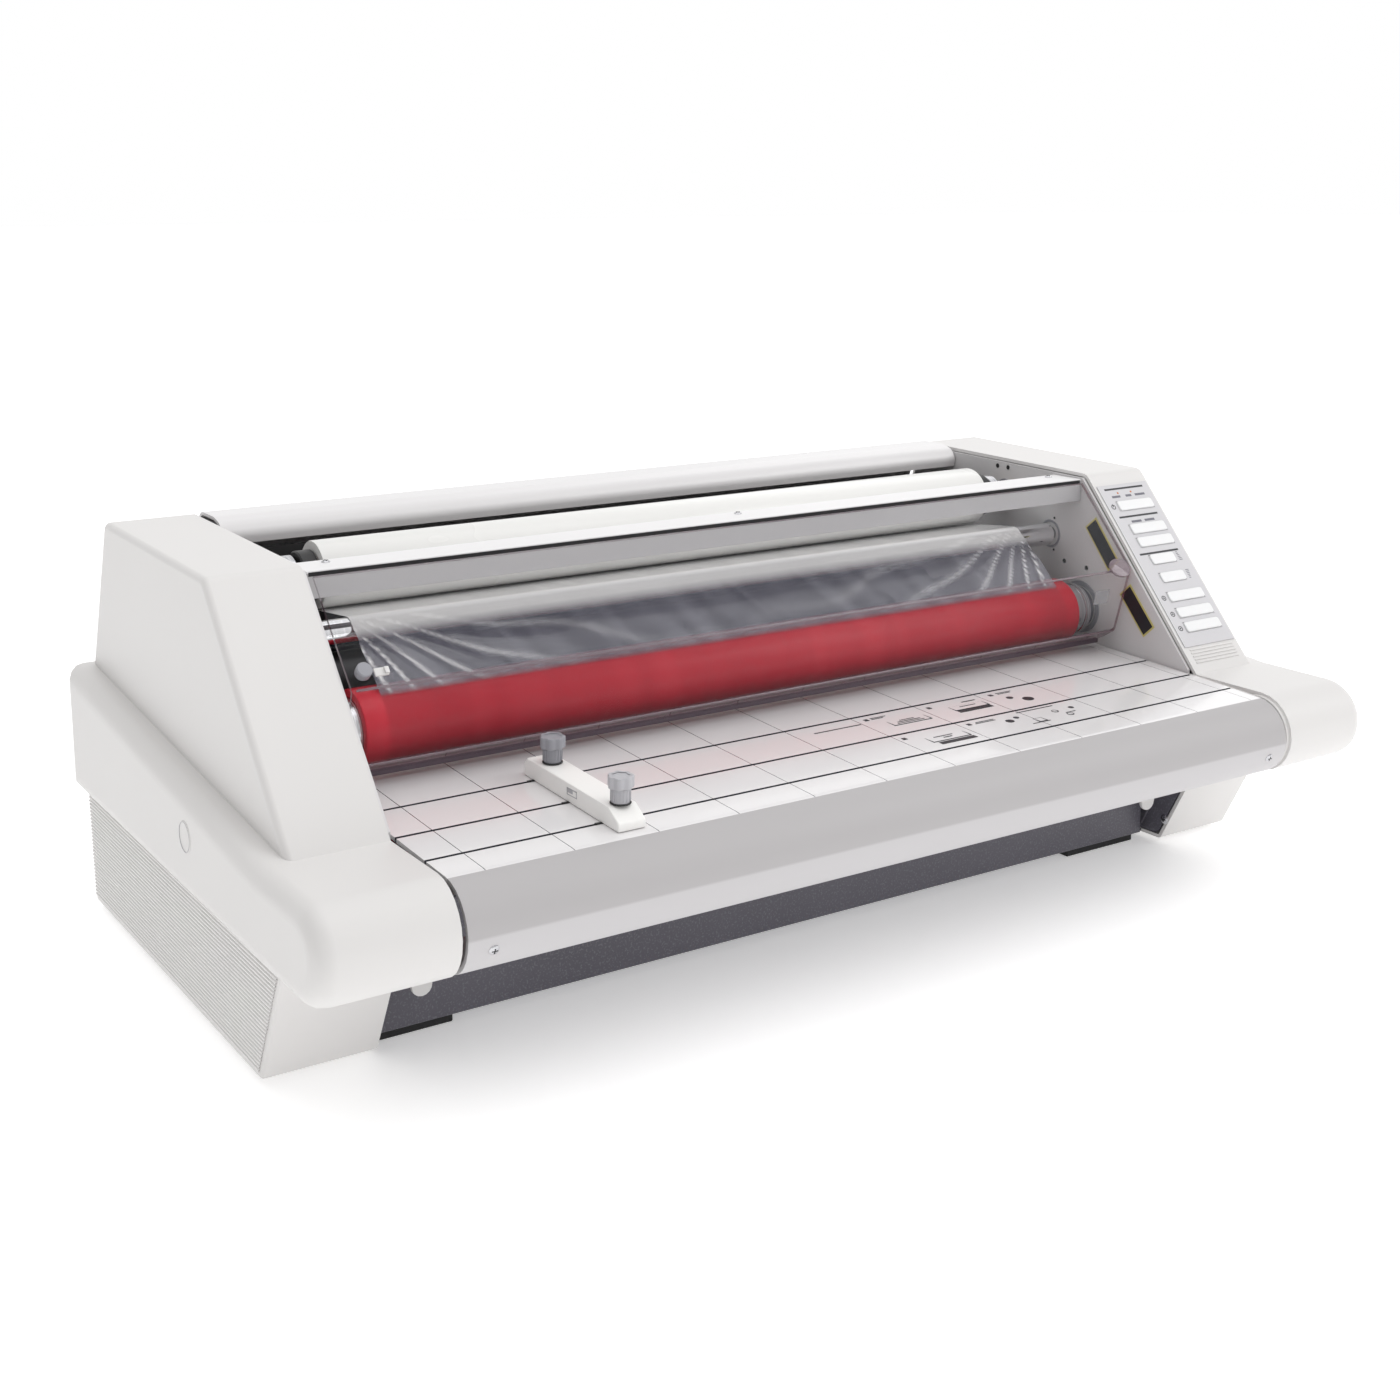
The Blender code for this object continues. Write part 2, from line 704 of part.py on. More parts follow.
def sprockets():
    start, end = CHAIN_X
    bore = JOURNAL_RADIUS + CLEARANCE
    sleeve("heat_sprocket", start, end, HEAT_SPROCKET, bore, LOWER_HEAT, "polished steel")
    bore = SMALL_JOURNAL_RADIUS + CLEARANCE
    sleeve("pull_sprocket", start, end, PULL_SPROCKET, bore, LOWER_PULL, "polished steel")
    sections = [(0.3615, start, SMALL_JOURNAL_RADIUS), (start, end, MOTOR_SPROCKET),
                (end, DRIVEN_END, SMALL_JOURNAL_RADIUS)]
    rod("motor_sprocket", sections, MOTOR_CENTRE, "polished steel")


def drive_chain():
    """A closed loop round the motor, pull roller and heated roller sprockets."""
    wheels = ((MOTOR_CENTRE, MOTOR_SPROCKET), (LOWER_PULL, PULL_SPROCKET),
              (LOWER_HEAT, HEAT_SPROCKET))
    inner = [(centre, radius + CHAIN_CLEARANCE, 1) for centre, radius in wheels]
    outer = [(centre, radius + CHAIN_THICKNESS, 1) for centre, radius, _ in inner]
    chain = prism("drive_chain", closed_band(outer), *CHAIN_X, "polished steel")
    room = prism("drive_chain_inside", closed_band(inner), CHAIN_X[0] - 0.01, CHAIN_X[1] + 0.01, None)
    boolean(chain, room)


def drive_motor():
    sections = [(0.2600, 0.3150, MOTOR_RADIUS - 0.003), (0.3150, 0.3560, MOTOR_RADIUS),
                (0.3560, 0.3608, 0.0150)]
    rod("drive_motor", sections, MOTOR_CENTRE, "dark paint")


def control_board():
    corners = [((0.3720, -0.1700, -0.0116), (0.4280, -0.0200, -0.0100))]
    boxes("control_board", corners, "circuit board", slope_frame())


# Feed table and edge guide


def feed_table():
    """A bent sheet with a rounded nose, grooved along X."""
    half = TABLE_THICKNESS / 2
    nose_z = table_height(TABLE_NOSE_Y) - TABLE_NOSE_RADIUS
    nose = arc((TABLE_NOSE_Y, nose_z), TABLE_NOSE_RADIUS - half, 90, 270, 12)
    line = [(TABLE_REAR, table_height(TABLE_REAR) - half), *nose, (TABLE_LIP_END, nose[-1][1])]
    table = strip("feed_table", line, TABLE_HALF_WIDTH, TABLE_THICKNESS, "pale paint")
    cuts = []
    for y in GROOVES:
        top = table_height(y)
        low = (-TABLE_HALF_WIDTH - 0.01, y - GROOVE_WIDTH / 2, top - GROOVE_DEPTH)
        cuts.append((low, (TABLE_HALF_WIDTH + 0.01, y + GROOVE_WIDTH / 2, top + 0.01)))
    boolean(table, boxes("feed_table_grooves", cuts, None))


def table_latches():
    """Turn latches that hang under the table, each on a post from the lower panel."""
    upper_end = arc((0.0, 0.0), LATCH_RADIUS, 0, 180, 8)
    lower_end = arc((0.0, -LATCH_REACH), LATCH_RADIUS, 180, 360, 8)
    lever = [*upper_end, *lower_end]
    post = arc((0.0, 0.0), LATCH_POST_RADIUS, 0, 340, 17)
    sections = (
        (lever, -LATCH_HALF_THICKNESS),
        (lever, LATCH_HALF_THICKNESS),
        (post, LATCH_HALF_THICKNESS),
        (post, LATCH_POST_LENGTH),
    )
    loops = [[(x, y, z) for x, z in outline] for outline, y in sections]
    for name, side in (("table_latch_left", -1), ("table_latch_right", 1)):
        latch = stacked_loops(name, loops, "white plastic")
        latch.location = (side * LATCH_X, LATCH_Y, LATCH_PIVOT_HEIGHT)


def guide_level(y):
    """Where the edge guide's underside runs, just clear of the feed surface."""
    return table_height(y) + CLEARANCE


def edge_guide():
    front, rear = GUIDE_FRONT, GUIDE_REAR
    outline = [
        (front, guide_level(front)), (rear, guide_level(rear)),
        (rear, guide_level(rear) + GUIDE_HEIGHT - 0.005),
        (rear - 0.005, guide_level(rear - 0.005) + GUIDE_HEIGHT),
        (front + 0.0125, guide_level(front + 0.0125) + GUIDE_HEIGHT),
        (front, guide_level(front) + 0.006),
    ]
    half = GUIDE_WIDTH / 2
    guide = prism("edge_guide", outline, GUIDE_X - half, GUIDE_X + half, "white plastic")
    bevel(guide, 0.0012, 2, 25)


def guide_knobs():
    """Clamping knobs: a stem with a collar, under a wider cap."""
    up = (0.0, -TABLE_SLOPE, 1.0)
    profile = [(0.0195, 0.0), (0.0195, 0.0080), (0.0185, 0.0090), (0.0110, 0.0090),
               (0.0105, 0.0065), (0.0020, 0.0065), (0.0018, 0.0078), (0.0, 0.0078), (0.0, 0.0)]
    for name, y in GUIDE_KNOBS.items():
        base = guide_level(y) + GUIDE_HEIGHT + CLEARANCE
        turned(name, profile, (GUIDE_X, y, base), "knob grey", direction=up)


# Safety shield


def safety_shield():
    """A clear bent sheet, with its origin on the hinge at its top edge."""
    axis = SHIELD_LINE[0]
    shield = strip(
        "safety_shield", SHIELD_LINE, SHIELD_HALF_WIDTH, SHIELD_THICKNESS,
        "clear plastic", axis,
    )
    for side in (-1, 1):
        ends = sorted((side * 0.3500, side * 0.3615))
        down = (Vector(SHIELD_LINE[1]) - Vector(axis)).normalized() * 0.003
        pin = [(axis[0] + down.x, axis[1] + down.y, 0.0020)]
        label = "left" if side < 0 else "right"
        boolean(shield, cylinders(f"safety_shield_pin_{label}", pin, *ends, steps=12), "UNION")


def shield_knob():
    top, crease = Vector(SHIELD_LINE[0]), Vector(SHIELD_LINE[1])
    down = (crease - top).normalized()
    out = Vector((down.y, -down.x))
    place = top + down * SHIELD_KNOB_DISTANCE + out * (SHIELD_THICKNESS / 2 + CLEARANCE)
    profile = [(0.0090, 0.0), (0.0090, 0.0062), (0.0080, 0.0072), (0.0015, 0.0072),
               (0.0, 0.0060), (0.0, 0.0)]
    turned(
        "shield_knob", profile, (SHIELD_KNOB_X, place.x, place.y), "knob grey",
        direction=(0.0, out.x, out.y),
    )


# Control panel and rear connections


def control_label():
    low = (LABEL_X[0], -LABEL_ALONG[1], LABEL_HEIGHTS[0])
    high = (LABEL_X[1], -LABEL_ALONG[0], LABEL_HEIGHTS[1])
    label = boxes("control_label", [(low, high)], "grey label", slope_frame())
    boolean(label, button_room("control_label_button_holes", -0.011, 0.011))


def buttons():
    for name, x, along, width in BUTTONS:
        low = (-width / 2, -BUTTON_LENGTH / 2, BUTTON_HEIGHTS[0])
        high = (width / 2, BUTTON_LENGTH / 2, BUTTON_HEIGHTS[1])
        button = boxes(name, [(low, high)], "button plastic", slope_frame(x, along))
        bevel(button, 0.0012)


def mains_inlet():
    """A mains socket with three blades in its recess."""
    x, z = INLET_CENTRE
    body = [((x - 0.0140, 0.2300, z - 0.0120), (x + 0.0140, 0.2465, z + 0.0120))]
    inlet = boxes("mains_inlet", body, "black plastic")
    recess = [((x - 0.0115, 0.2330, z - 0.0085), (x + 0.0115, 0.2600, z + 0.0085))]
    boolean(inlet, boxes("mains_inlet_recess", recess, None))
    blades = []
    for across, height in ((-0.0070, -0.0020), (0.0, 0.0020), (0.0070, -0.0020)):
        low = (x + across - 0.0010, 0.2310, z + height - 0.0025)
        blades.append((low, (x + across + 0.0010, 0.2400, z + height + 0.0025)))
    boolean(inlet, boxes("mains_inlet_blades", blades, None), "UNION")


def rocker_switch():
    outline = [(-0.0040, -0.0085), (0.0062, -0.0095), (0.0042, 0.0), (0.0038, 0.0095),
               (-0.0040, 0.0085)]
    x, z = SWITCH_CENTRE
    switch = prism("rocker_switch", outline, -0.0075, 0.0075, "black plastic")
    switch.location = (x, 0.2430, z)


def reset_button():
    x, z = RESET_CENTRE
    profile = [(0.0120, 0.0), (0.0120, RESET_RADIUS - 0.0008), (0.0112, RESET_RADIUS),
               (0.0, RESET_RADIUS), (0.0, 0.0)]
    turned("reset_button", profile, (x, 0.2375, z), "black plastic", direction=(0, 1, 0))


def build():
    left_side_cover()
    right_side_cover()
    left_side_frame()
    right_side_frame()
    base_plate()
    front_lower_panel()
    rear_top_cover()
    rear_panel()
    front_crossbar()
    inner_baffle()
    feet()
    heat_roller("upper", UPPER_HEAT, 0.3820)
    heat_roller("lower", LOWER_HEAT, DRIVEN_END)
    pull_roller("upper_pull_roller", UPPER_PULL, JOURNAL_END)
    pull_roller("lower_pull_roller", LOWER_PULL, DRIVEN_END)
    idler_bar("upper_idler_bar", UPPER_IDLER)
    idler_bar("lower_idler_bar", LOWER_IDLER)
    film_supply("upper", UPPER_SUPPLY)
    film_supply("lower", LOWER_SUPPLY)
    film_webs()
    drive_gears()
    sprockets()
    drive_chain()
    drive_motor()
    control_board()
    feed_table()
    table_latches()
    edge_guide()
    guide_knobs()
    safety_shield()
    shield_knob()
    control_label()
    buttons()
    mains_inlet()
    rocker_switch()
    reset_button()


build()
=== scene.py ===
"""Visible pieces and finishes of a wide roll laminator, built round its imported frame."""

import json
import math

import bmesh
import bpy
from mathutils import Matrix, Vector


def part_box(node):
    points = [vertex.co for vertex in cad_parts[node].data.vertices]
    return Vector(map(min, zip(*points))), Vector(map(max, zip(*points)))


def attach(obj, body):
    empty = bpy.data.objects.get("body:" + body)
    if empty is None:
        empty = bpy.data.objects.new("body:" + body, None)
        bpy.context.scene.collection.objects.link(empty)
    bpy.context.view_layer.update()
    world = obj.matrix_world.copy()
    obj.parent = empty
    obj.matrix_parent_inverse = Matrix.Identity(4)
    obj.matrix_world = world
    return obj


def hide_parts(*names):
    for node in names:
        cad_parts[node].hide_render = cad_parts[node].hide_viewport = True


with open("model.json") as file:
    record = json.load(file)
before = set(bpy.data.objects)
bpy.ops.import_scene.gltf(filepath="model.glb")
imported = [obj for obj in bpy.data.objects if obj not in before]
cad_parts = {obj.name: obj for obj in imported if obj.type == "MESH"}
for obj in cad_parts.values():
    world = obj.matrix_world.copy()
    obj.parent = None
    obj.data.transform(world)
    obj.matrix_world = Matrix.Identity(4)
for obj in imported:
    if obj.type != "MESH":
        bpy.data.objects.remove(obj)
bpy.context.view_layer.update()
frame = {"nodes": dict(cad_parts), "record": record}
MM = 0.001


# ---------------------------------------------------------------- camera, floor and light

CAMERA_PLACE = (-0.8187, -1.1993, 0.5596)
CAMERA_YAW = math.radians(32.91)
CAMERA_PITCH = math.radians(9.432)
CAMERA_ROLL = math.radians(-0.259)
CAMERA_LENS = 48.09
CAMERA_SHIFT = (0.0098, -0.1429)
WORLD_NEAR = 0.48
WORLD_FAR = 1.0
WORLD_BRIGHT_WAY = (0.85, 0.40, 0.25)
WORLD_TURN = (-0.45, 0.35)
FLOOR_HALF_SIZE = 30.0
# Each light: its name, its place, the point it faces, its size, and its power in watts.
LIGHTS = (
    ("overhead", (-0.3, -0.2, 2.6), (0.0, 0.0, 0.2), (2.6, 2.2), 15.0),
    ("left_front", (-2.2, -2.2, 1.6), (0.0, 0.0, 0.2), (1.6, 1.6), 3.0),
    ("right_front", (2.0, -1.6, 2.0), (0.2, 0.0, 0.2), (1.6, 1.6), 16.0),
    ("right_rear", (2.0, 1.6, 1.6), (0.0, 0.0, 0.2), (1.6, 1.6), 3.0),
)


def add_camera():
    forward = Vector((
        math.sin(CAMERA_YAW) * math.cos(CAMERA_PITCH),
        math.cos(CAMERA_YAW) * math.cos(CAMERA_PITCH),
        -math.sin(CAMERA_PITCH),
    ))
    level = Vector((math.cos(CAMERA_YAW), -math.sin(CAMERA_YAW), 0.0))
    above = level.cross(forward)
    right = level * math.cos(CAMERA_ROLL) + above * math.sin(CAMERA_ROLL)
    upward = above * math.cos(CAMERA_ROLL) - level * math.sin(CAMERA_ROLL)
    camera = bpy.data.objects.new("camera", bpy.data.cameras.new("camera"))
    bpy.context.scene.collection.objects.link(camera)
    camera.matrix_world = Matrix.Translation(CAMERA_PLACE) @ Matrix(
        (right, upward, -forward)).transposed().to_4x4()
    camera.data.lens = CAMERA_LENS
    camera.data.sensor_width = 36.0
    camera.data.shift_x, camera.data.shift_y = CAMERA_SHIFT
    camera.data.clip_start = 0.01
    bpy.context.scene.camera = camera


def add_area_light(name, place, target, size, power):
    light = bpy.data.lights.new(name, "AREA")
    light.shape = "RECTANGLE"
    light.size, light.size_y = size
    light.energy = power
    lamp = bpy.data.objects.new(name, light)
    bpy.context.scene.collection.objects.link(lamp)
    lamp.location = place
    lamp.rotation_euler = (Vector(target) - Vector(place)).to_track_quat("-Z", "Y").to_euler()


def add_world():
    """A white studio, a little dimmer behind the camera so that near sides keep their shape."""
    world = bpy.data.worlds.new("studio")
    bpy.context.scene.world = world
    world.use_nodes = True
    tree = world.node_tree
    tree.nodes.clear()
    way = add(tree, "ShaderNodeTexCoord").outputs["Generated"]
    facing = add(tree, "ShaderNodeVectorMath", {0: way, 1: WORLD_BRIGHT_WAY},
                 operation="DOT_PRODUCT")
    strength = map_range(tree, facing.outputs["Value"], *WORLD_TURN, WORLD_NEAR, WORLD_FAR)
    background = add(tree, "ShaderNodeBackground", {
        "Color": (1.0, 1.0, 1.0, 1.0), "Strength": strength})
    add(tree, "ShaderNodeOutputWorld", {"Surface": background.outputs[0]})


# ---------------------------------------------------------------- shader node groups


def add(tree, kind, inputs=None, **settings):
    """A node with its settings, and its inputs set to values or linked to sockets."""
    made = tree.nodes.new(kind)
    for key, value in settings.items():
        setattr(made, key, value)
    for key, value in (inputs or {}).items():
        if isinstance(value, bpy.types.NodeSocket):
            tree.links.new(value, made.inputs[key])
        else:
            made.inputs[key].default_value = value
    return made


def math_node(tree, operation, first, second=0.0, third=None):
    inputs = {0: first, 1: second}
    if third is not None:
        inputs[2] = third
    return add(tree, "ShaderNodeMath", inputs, operation=operation).outputs[0]


def map_range(tree, value, low, high, to_low=0.0, to_high=1.0):
    limits = {0: value, 1: low, 2: high, 3: to_low, 4: to_high}
    return add(tree, "ShaderNodeMapRange", limits).outputs[0]


def object_place(tree):
    return add(tree, "ShaderNodeTexCoord").outputs["Object"]


def object_axes(tree):
    """The X, Y and Z of the object coordinates."""
    return add(tree, "ShaderNodeSeparateXYZ", {0: object_place(tree)}).outputs


def mix_colour(tree, factor, first, second):
    made = add(tree, "ShaderNodeMix", {0: factor, 6: first, 7: second}, data_type="RGBA")
    return made.outputs[2]


def new_group(name, inputs, outputs):
    """An empty shader node group with float inputs (name, default) and float outputs."""
    group = bpy.data.node_groups.new(name, "ShaderNodeTree")
    for label, value in inputs:
        socket = group.interface.new_socket(
            name=label, in_out="INPUT", socket_type="NodeSocketFloat")
        socket.default_value = value
    for label in outputs:
        group.interface.new_socket(name=label, in_out="OUTPUT", socket_type="NodeSocketFloat")
    entry = group.nodes.new("NodeGroupInput")
    leave = group.nodes.new("NodeGroupOutput")
    return group, entry, leave


def grain_group():
    """Fine moulded or sprayed texture, and slow changes of tone."""
    group, entry, leave = new_group(
        "fine_grain", [("Scale", 900.0), ("Patch Scale", 7.0)], ["Height", "Tone"])
    place = object_place(group)
    fine = add(group, "ShaderNodeTexNoise", {
        "Vector": place, "Scale": entry.outputs["Scale"], "Detail": 2.0, "Roughness": 0.55})
    slow = add(group, "ShaderNodeTexNoise", {
        "Vector": place, "Scale": entry.outputs["Patch Scale"], "Detail": 3.0})
    group.links.new(fine.outputs[0], leave.inputs["Height"])
    group.links.new(slow.outputs[0], leave.inputs["Tone"])
    return group


def streak_group():
    """Streaks that run round a roller or down a film, from stretched noise."""
    group, entry, leave = new_group(
        "streaks", [("Along", 40.0), ("Across", 2.0), ("Slant", 0.0)], ["Height", "Mask"])
    axes = object_axes(group)
    lean = math_node(group, "MULTIPLY", axes["Z"], entry.outputs["Slant"])
    across = math_node(group, "ADD", axes["X"], lean)
    stretched = add(group, "ShaderNodeCombineXYZ", {
        0: math_node(group, "MULTIPLY", across, entry.outputs["Along"]),
        1: math_node(group, "MULTIPLY", axes["Y"], entry.outputs["Across"]),
        2: math_node(group, "MULTIPLY", axes["Z"], entry.outputs["Across"])})
    noise = add(group, "ShaderNodeTexNoise", {
        "Vector": stretched.outputs[0], "Scale": 1.0, "Detail": 3.0, "Roughness": 0.6})
    group.links.new(noise.outputs[0], leave.inputs["Height"])
    group.links.new(map_range(group, noise.outputs[0], 0.42, 0.66), leave.inputs["Mask"])
    return group


def line_group():
    """Thin printed lines at even steps along X."""
    group, entry, leave = new_group(
        "ruled_lines", [("Start", 0.0), ("Pitch", 0.0622), ("Half Width", 0.0004)], ["Mask"])
    from_start = math_node(group, "SUBTRACT", object_axes(group)["X"], entry.outputs["Start"])
    half_pitch = math_node(group, "MULTIPLY", entry.outputs["Pitch"], 0.5)
    away = math_node(group, "PINGPONG", from_start, half_pitch)
    mask = math_node(group, "LESS_THAN", away, entry.outputs["Half Width"])
    group.links.new(mask, leave.inputs["Mask"])
    return group


FINE_GRAIN = grain_group()
STREAKS = streak_group()
RULED_LINES = line_group()


def use_group(tree, group, **values):
    made = tree.nodes.new("ShaderNodeGroup")
    made.node_tree = group
    for key, value in values.items():
        made.inputs[key.replace("_", " ").title()].default_value = value
    return made


# ---------------------------------------------------------------- materials


def new_material(name, **sockets):
    made = bpy.data.materials.new(name)
    made.use_nodes = True
    shader = made.node_tree.nodes["Principled BSDF"]
    for key, value in sockets.items():
        shader.inputs[key.replace("_", " ")].default_value = value
    return made, made.node_tree, shader


def scaled(colour, factor):
    return (*(min(1.0, part * factor) for part in colour), 1.0)


def textured(made, mask, height, roughness, spread, strength, relief):
    """Roughness that follows a mask, and bump from a height map, on a new material."""
    tree = made.node_tree
    shader = tree.nodes["Principled BSDF"]
    rough = map_range(tree, mask, 0.0, 1.0, max(0.02, roughness - spread), roughness + spread)
    tree.links.new(rough, shader.inputs["Roughness"])
    bump = add(tree, "ShaderNodeBump", {
        "Height": height, "Strength": strength, "Distance": relief * MM})
    tree.links.new(bump.outputs[0], shader.inputs["Normal"])
    return made


def grained(name, colour, roughness, grain=900.0, height=0.02, tone=0.03, spread=0.06,
            patch=7.0, **sockets):
    """A painted, moulded or rubber finish with fine texture and slow tone changes."""
    made, tree, shader = new_material(name, **sockets)
    texture = use_group(tree, FINE_GRAIN, scale=grain, patch_scale=patch).outputs
    colours = mix_colour(tree, texture["Tone"], scaled(colour, 1 - tone), scaled(colour, 1 + tone))
    tree.links.new(colours, shader.inputs["Base Color"])
    return textured(made, texture["Tone"], texture["Height"], roughness, spread, 0.5, height)


def streaked(name, dark, light, roughness, along, across, slant=0.0, height=0.03, spread=0.08,
             **sockets):
    """A roller, rod or film finish with streaks along its travel."""
    made, tree, shader = new_material(name, **sockets)
    texture = use_group(tree, STREAKS, along=along, across=across, slant=slant).outputs
    colours = mix_colour(tree, texture["Mask"], (*dark, 1.0), (*light, 1.0))
    tree.links.new(colours, shader.inputs["Base Color"])
    return textured(made, texture["Mask"], texture["Height"], roughness, spread, 0.6, height)


def paint_over(made, mask, colour):
    """Lays a second colour over a finish's own, through a mask."""
    tree = made.node_tree
    coloured = tree.nodes["Principled BSDF"].inputs["Base Color"]
    mixed = mix_colour(tree, mask, coloured.links[0].from_socket, (*colour, 1.0))
    tree.links.new(mixed, coloured)


def speckled(name, colour, fleck, roughness):
    """Dark paint with fine light flecks."""
    made = grained(name, colour, roughness, grain=1400.0, height=0.08, tone=0.15)
    tree = made.node_tree
    dots = add(tree, "ShaderNodeTexNoise", {
        "Vector": object_place(tree), "Scale": 650.0, "Detail": 1.0})
    paint_over(made, map_range(tree, dots.outputs[0], 0.56, 0.66), fleck)
    return made


def table_paint():
    """Glossy lilac-grey paint with a ruled grid, dark grooves of painted shade, and a matt nose,
    darker than the top: partly its own paint, partly painted shade, with a painted reflection band
    low on it.
    """
    made = grained("table_paint", (0.80, 0.785, 0.79), 0.17, grain=500.0, height=0.004,
                   tone=0.03, spread=0.04, Coat_Roughness=0.05)
    tree = made.node_tree
    shader = tree.nodes["Principled BSDF"]
    axes = object_axes(tree)
    raised = math_node(tree, "GREATER_THAN", axes["Z"], TABLE_TOP_LOWEST)
    inside = math_node(tree, "MULTIPLY",
                       math_node(tree, "GREATER_THAN", axes["Y"], GRID_FRONT), raised)
    lines = use_group(tree, RULED_LINES, start=GRID_START, pitch=GRID_PITCH, half_width=0.0003)
    print_and_groove_shade = math_node(tree, "MULTIPLY", lines.outputs["Mask"], inside)
    # The groove lines are painted shade, standing for the shade inside the table's grooves.
    for groove in TABLE_GROOVES:
        near = math_node(tree, "ABSOLUTE", math_node(tree, "SUBTRACT", axes["Y"], groove))
        line = math_node(tree, "LESS_THAN", near, GROOVE_HALF_WIDTH)
        print_and_groove_shade = math_node(tree, "MAXIMUM", print_and_groove_shade, math_node(tree, "MULTIPLY", line, raised))
    # Painted light on the nose: painted shade on its upper part, a lighter painted reflection band
    # on its lower part.
    painted_light_band = map_range(tree, axes["Z"], *NOSE_SHADE_AND_SHEEN_LEVELS, 1.0, 0.0)
    nose = mix_colour(tree, painted_light_band, (0.45, 0.435, 0.44, 1.0), (0.57, 0.555, 0.565, 1.0))
    base = shader.inputs["Base Color"].links[0].from_socket
    tree.links.new(mix_colour(tree, inside, nose, base), shader.inputs["Base Color"])
    paint_over(made, print_and_groove_shade, (0.055, 0.055, 0.065))
    polish = shader.inputs["Roughness"].links[0].from_socket
    matt = math_node(tree, "MULTIPLY", math_node(tree, "SUBTRACT", 1.0, inside), 0.34)
    tree.links.new(math_node(tree, "ADD", polish, matt), shader.inputs["Roughness"])
    tree.links.new(math_node(tree, "MULTIPLY", inside, 0.45), shader.inputs["Coat Weight"])
    return made


def dark_below_paint(name, upper, lower, level):
    """Paint that is pale above a level and dark below it."""
    made = grained(name, upper, 0.34, grain=900.0, height=0.01, tone=0.05)
    tree = made.node_tree
    paint_over(made, math_node(tree, "LESS_THAN", object_axes(tree)["Z"], level), lower)
    return made


def ribbed_plastic():
    """White plastic whose level grooves hold a little shade."""
    made = grained("ribbed_shell", (0.80, 0.785, 0.775), 0.45, grain=1500.0, height=0.03,
                   tone=0.012)
    tree = made.node_tree
    from_start = math_node(
        tree, "SUBTRACT", object_axes(tree)["Z"], RIB_START + 0.46 * RIB_PITCH)
    away = math_node(tree, "PINGPONG", from_start, RIB_PITCH / 2)
    groove = map_range(tree, away, 0.26 * RIB_PITCH, 0.42 * RIB_PITCH)
    paint_over(made, groove, (0.62, 0.61, 0.60))
    return made


def turned_away(tree):
    """Nought where a surface is faced, rising steeply to one at its edge."""
    turned = add(tree, "ShaderNodeLayerWeight", {"Blend": 0.5}).outputs["Facing"]
    return math_node(tree, "POWER", turned, 4.0)


def set_alpha(made, alpha):
    tree = made.node_tree
    tree.links.new(math_node(tree, "MINIMUM", alpha, 1.0),
                   tree.nodes["Principled BSDF"].inputs["Alpha"])


def clear_sheet(name, colour, haze, shine):
    """A clear plastic: faint where it is faced, brighter at its edge, with a dusky maroon foot of
    painted reflection of the red roller.
    """
    made = grained(name, colour, 0.04, grain=300.0, height=0.0004, tone=0.01, spread=0.012,
                   IOR=1.65, Coat_Weight=1.0, Coat_Roughness=0.02)
    tree = made.node_tree
    alpha = math_node(tree, "MULTIPLY_ADD", turned_away(tree), shine, haze)
    # Painted reflection: the maroon, more opaque foot stands for the red roller seen in the sheet's
    # foot.
    foot = map_range(tree, object_axes(tree)["Z"], *SHIELD_FOOT_REFLECTION_LEVELS)
    paint_over(made, foot, (0.21, 0.12, 0.15))
    set_alpha(made, math_node(tree, "MULTIPLY_ADD", foot, 0.45, alpha))
    return made


def laminating_film():
    """Thin clear film with painted light: milky with painted reflection and a painted highlight
    band over the idler, smoky with painted shade on its free run, painted highlights on its folds,
    faint on the roller.
    """
    # Its dark slate colours are painted shade, standing for the dark works behind the clear film.
    made = streaked("laminating_film", (0.15, 0.145, 0.19), (0.27, 0.265, 0.32), 0.16, 60.0, 6.0,
                    slant=0.8, height=0.05, spread=0.05, IOR=1.6, Coat_Weight=0.5,
                    Coat_Roughness=0.06)
    tree = made.node_tree
    height = object_axes(tree)["Z"]
    # Painted highlights along the film's folds, read from the sheet's own attribute.
    fold_highlight = add(tree, "ShaderNodeAttribute", attribute_name="fold_highlight").outputs["Fac"]
    # The whiteness and opacity over the idler are painted reflection of the lamps on the film's
    # curve.
    idler_sheen = map_range(tree, height, *FILM_SHEEN_LEVELS, 0.42, 0.88)
    free = map_range(tree, height, *FILM_FREE_LEVELS, 0.015, 1.0)
    # Painted highlight: a white band along the film's crest over the idler.
    painted_light_band = map_range(tree, height, *FILM_HIGHLIGHT_LEVELS)
    paint_over(made, math_node(tree, "MAXIMUM", painted_light_band, fold_highlight), (0.97, 0.96, 0.96))
    body = math_node(tree, "MULTIPLY_ADD", fold_highlight, 0.45, idler_sheen)
    edge = math_node(tree, "MULTIPLY", turned_away(tree), 0.12)
    set_alpha(made, math_node(tree, "MULTIPLY_ADD", body, free, edge))
    return made


# Heights at which a finish changes, or between which it changes.
NOSE_SHADE_AND_SHEEN_LEVELS = (0.1215, 0.1235)
SHIELD_FOOT_REFLECTION_LEVELS = (0.1800, 0.1775)
FILM_SHEEN_LEVELS = (0.247, 0.258)
FILM_FREE_LEVELS = (0.2155, 0.2190)
FILM_HIGHLIGHT_LEVELS = (0.2475, 0.2550)
CROSSBAR_SHADE_LEVEL = 0.3040
FRAME_SHADE_LEVEL = 0.105
TABLE_GROOVES = (-0.196, -0.1525, -0.104)
GROOVE_HALF_WIDTH = 0.0014
TABLE_TOP_LOWEST = 0.150
GRID_FRONT = -0.2265
GRID_START = -0.335
GRID_PITCH = 0.0622
RIB_START = 0.0095
RIB_PITCH = 0.0029
RIB_DEPTH = 0.0011

WHITE = grained("white_shell", (0.715, 0.70, 0.69), 0.42, grain=1500.0, height=0.03, tone=0.012)
RIBBED = ribbed_plastic()
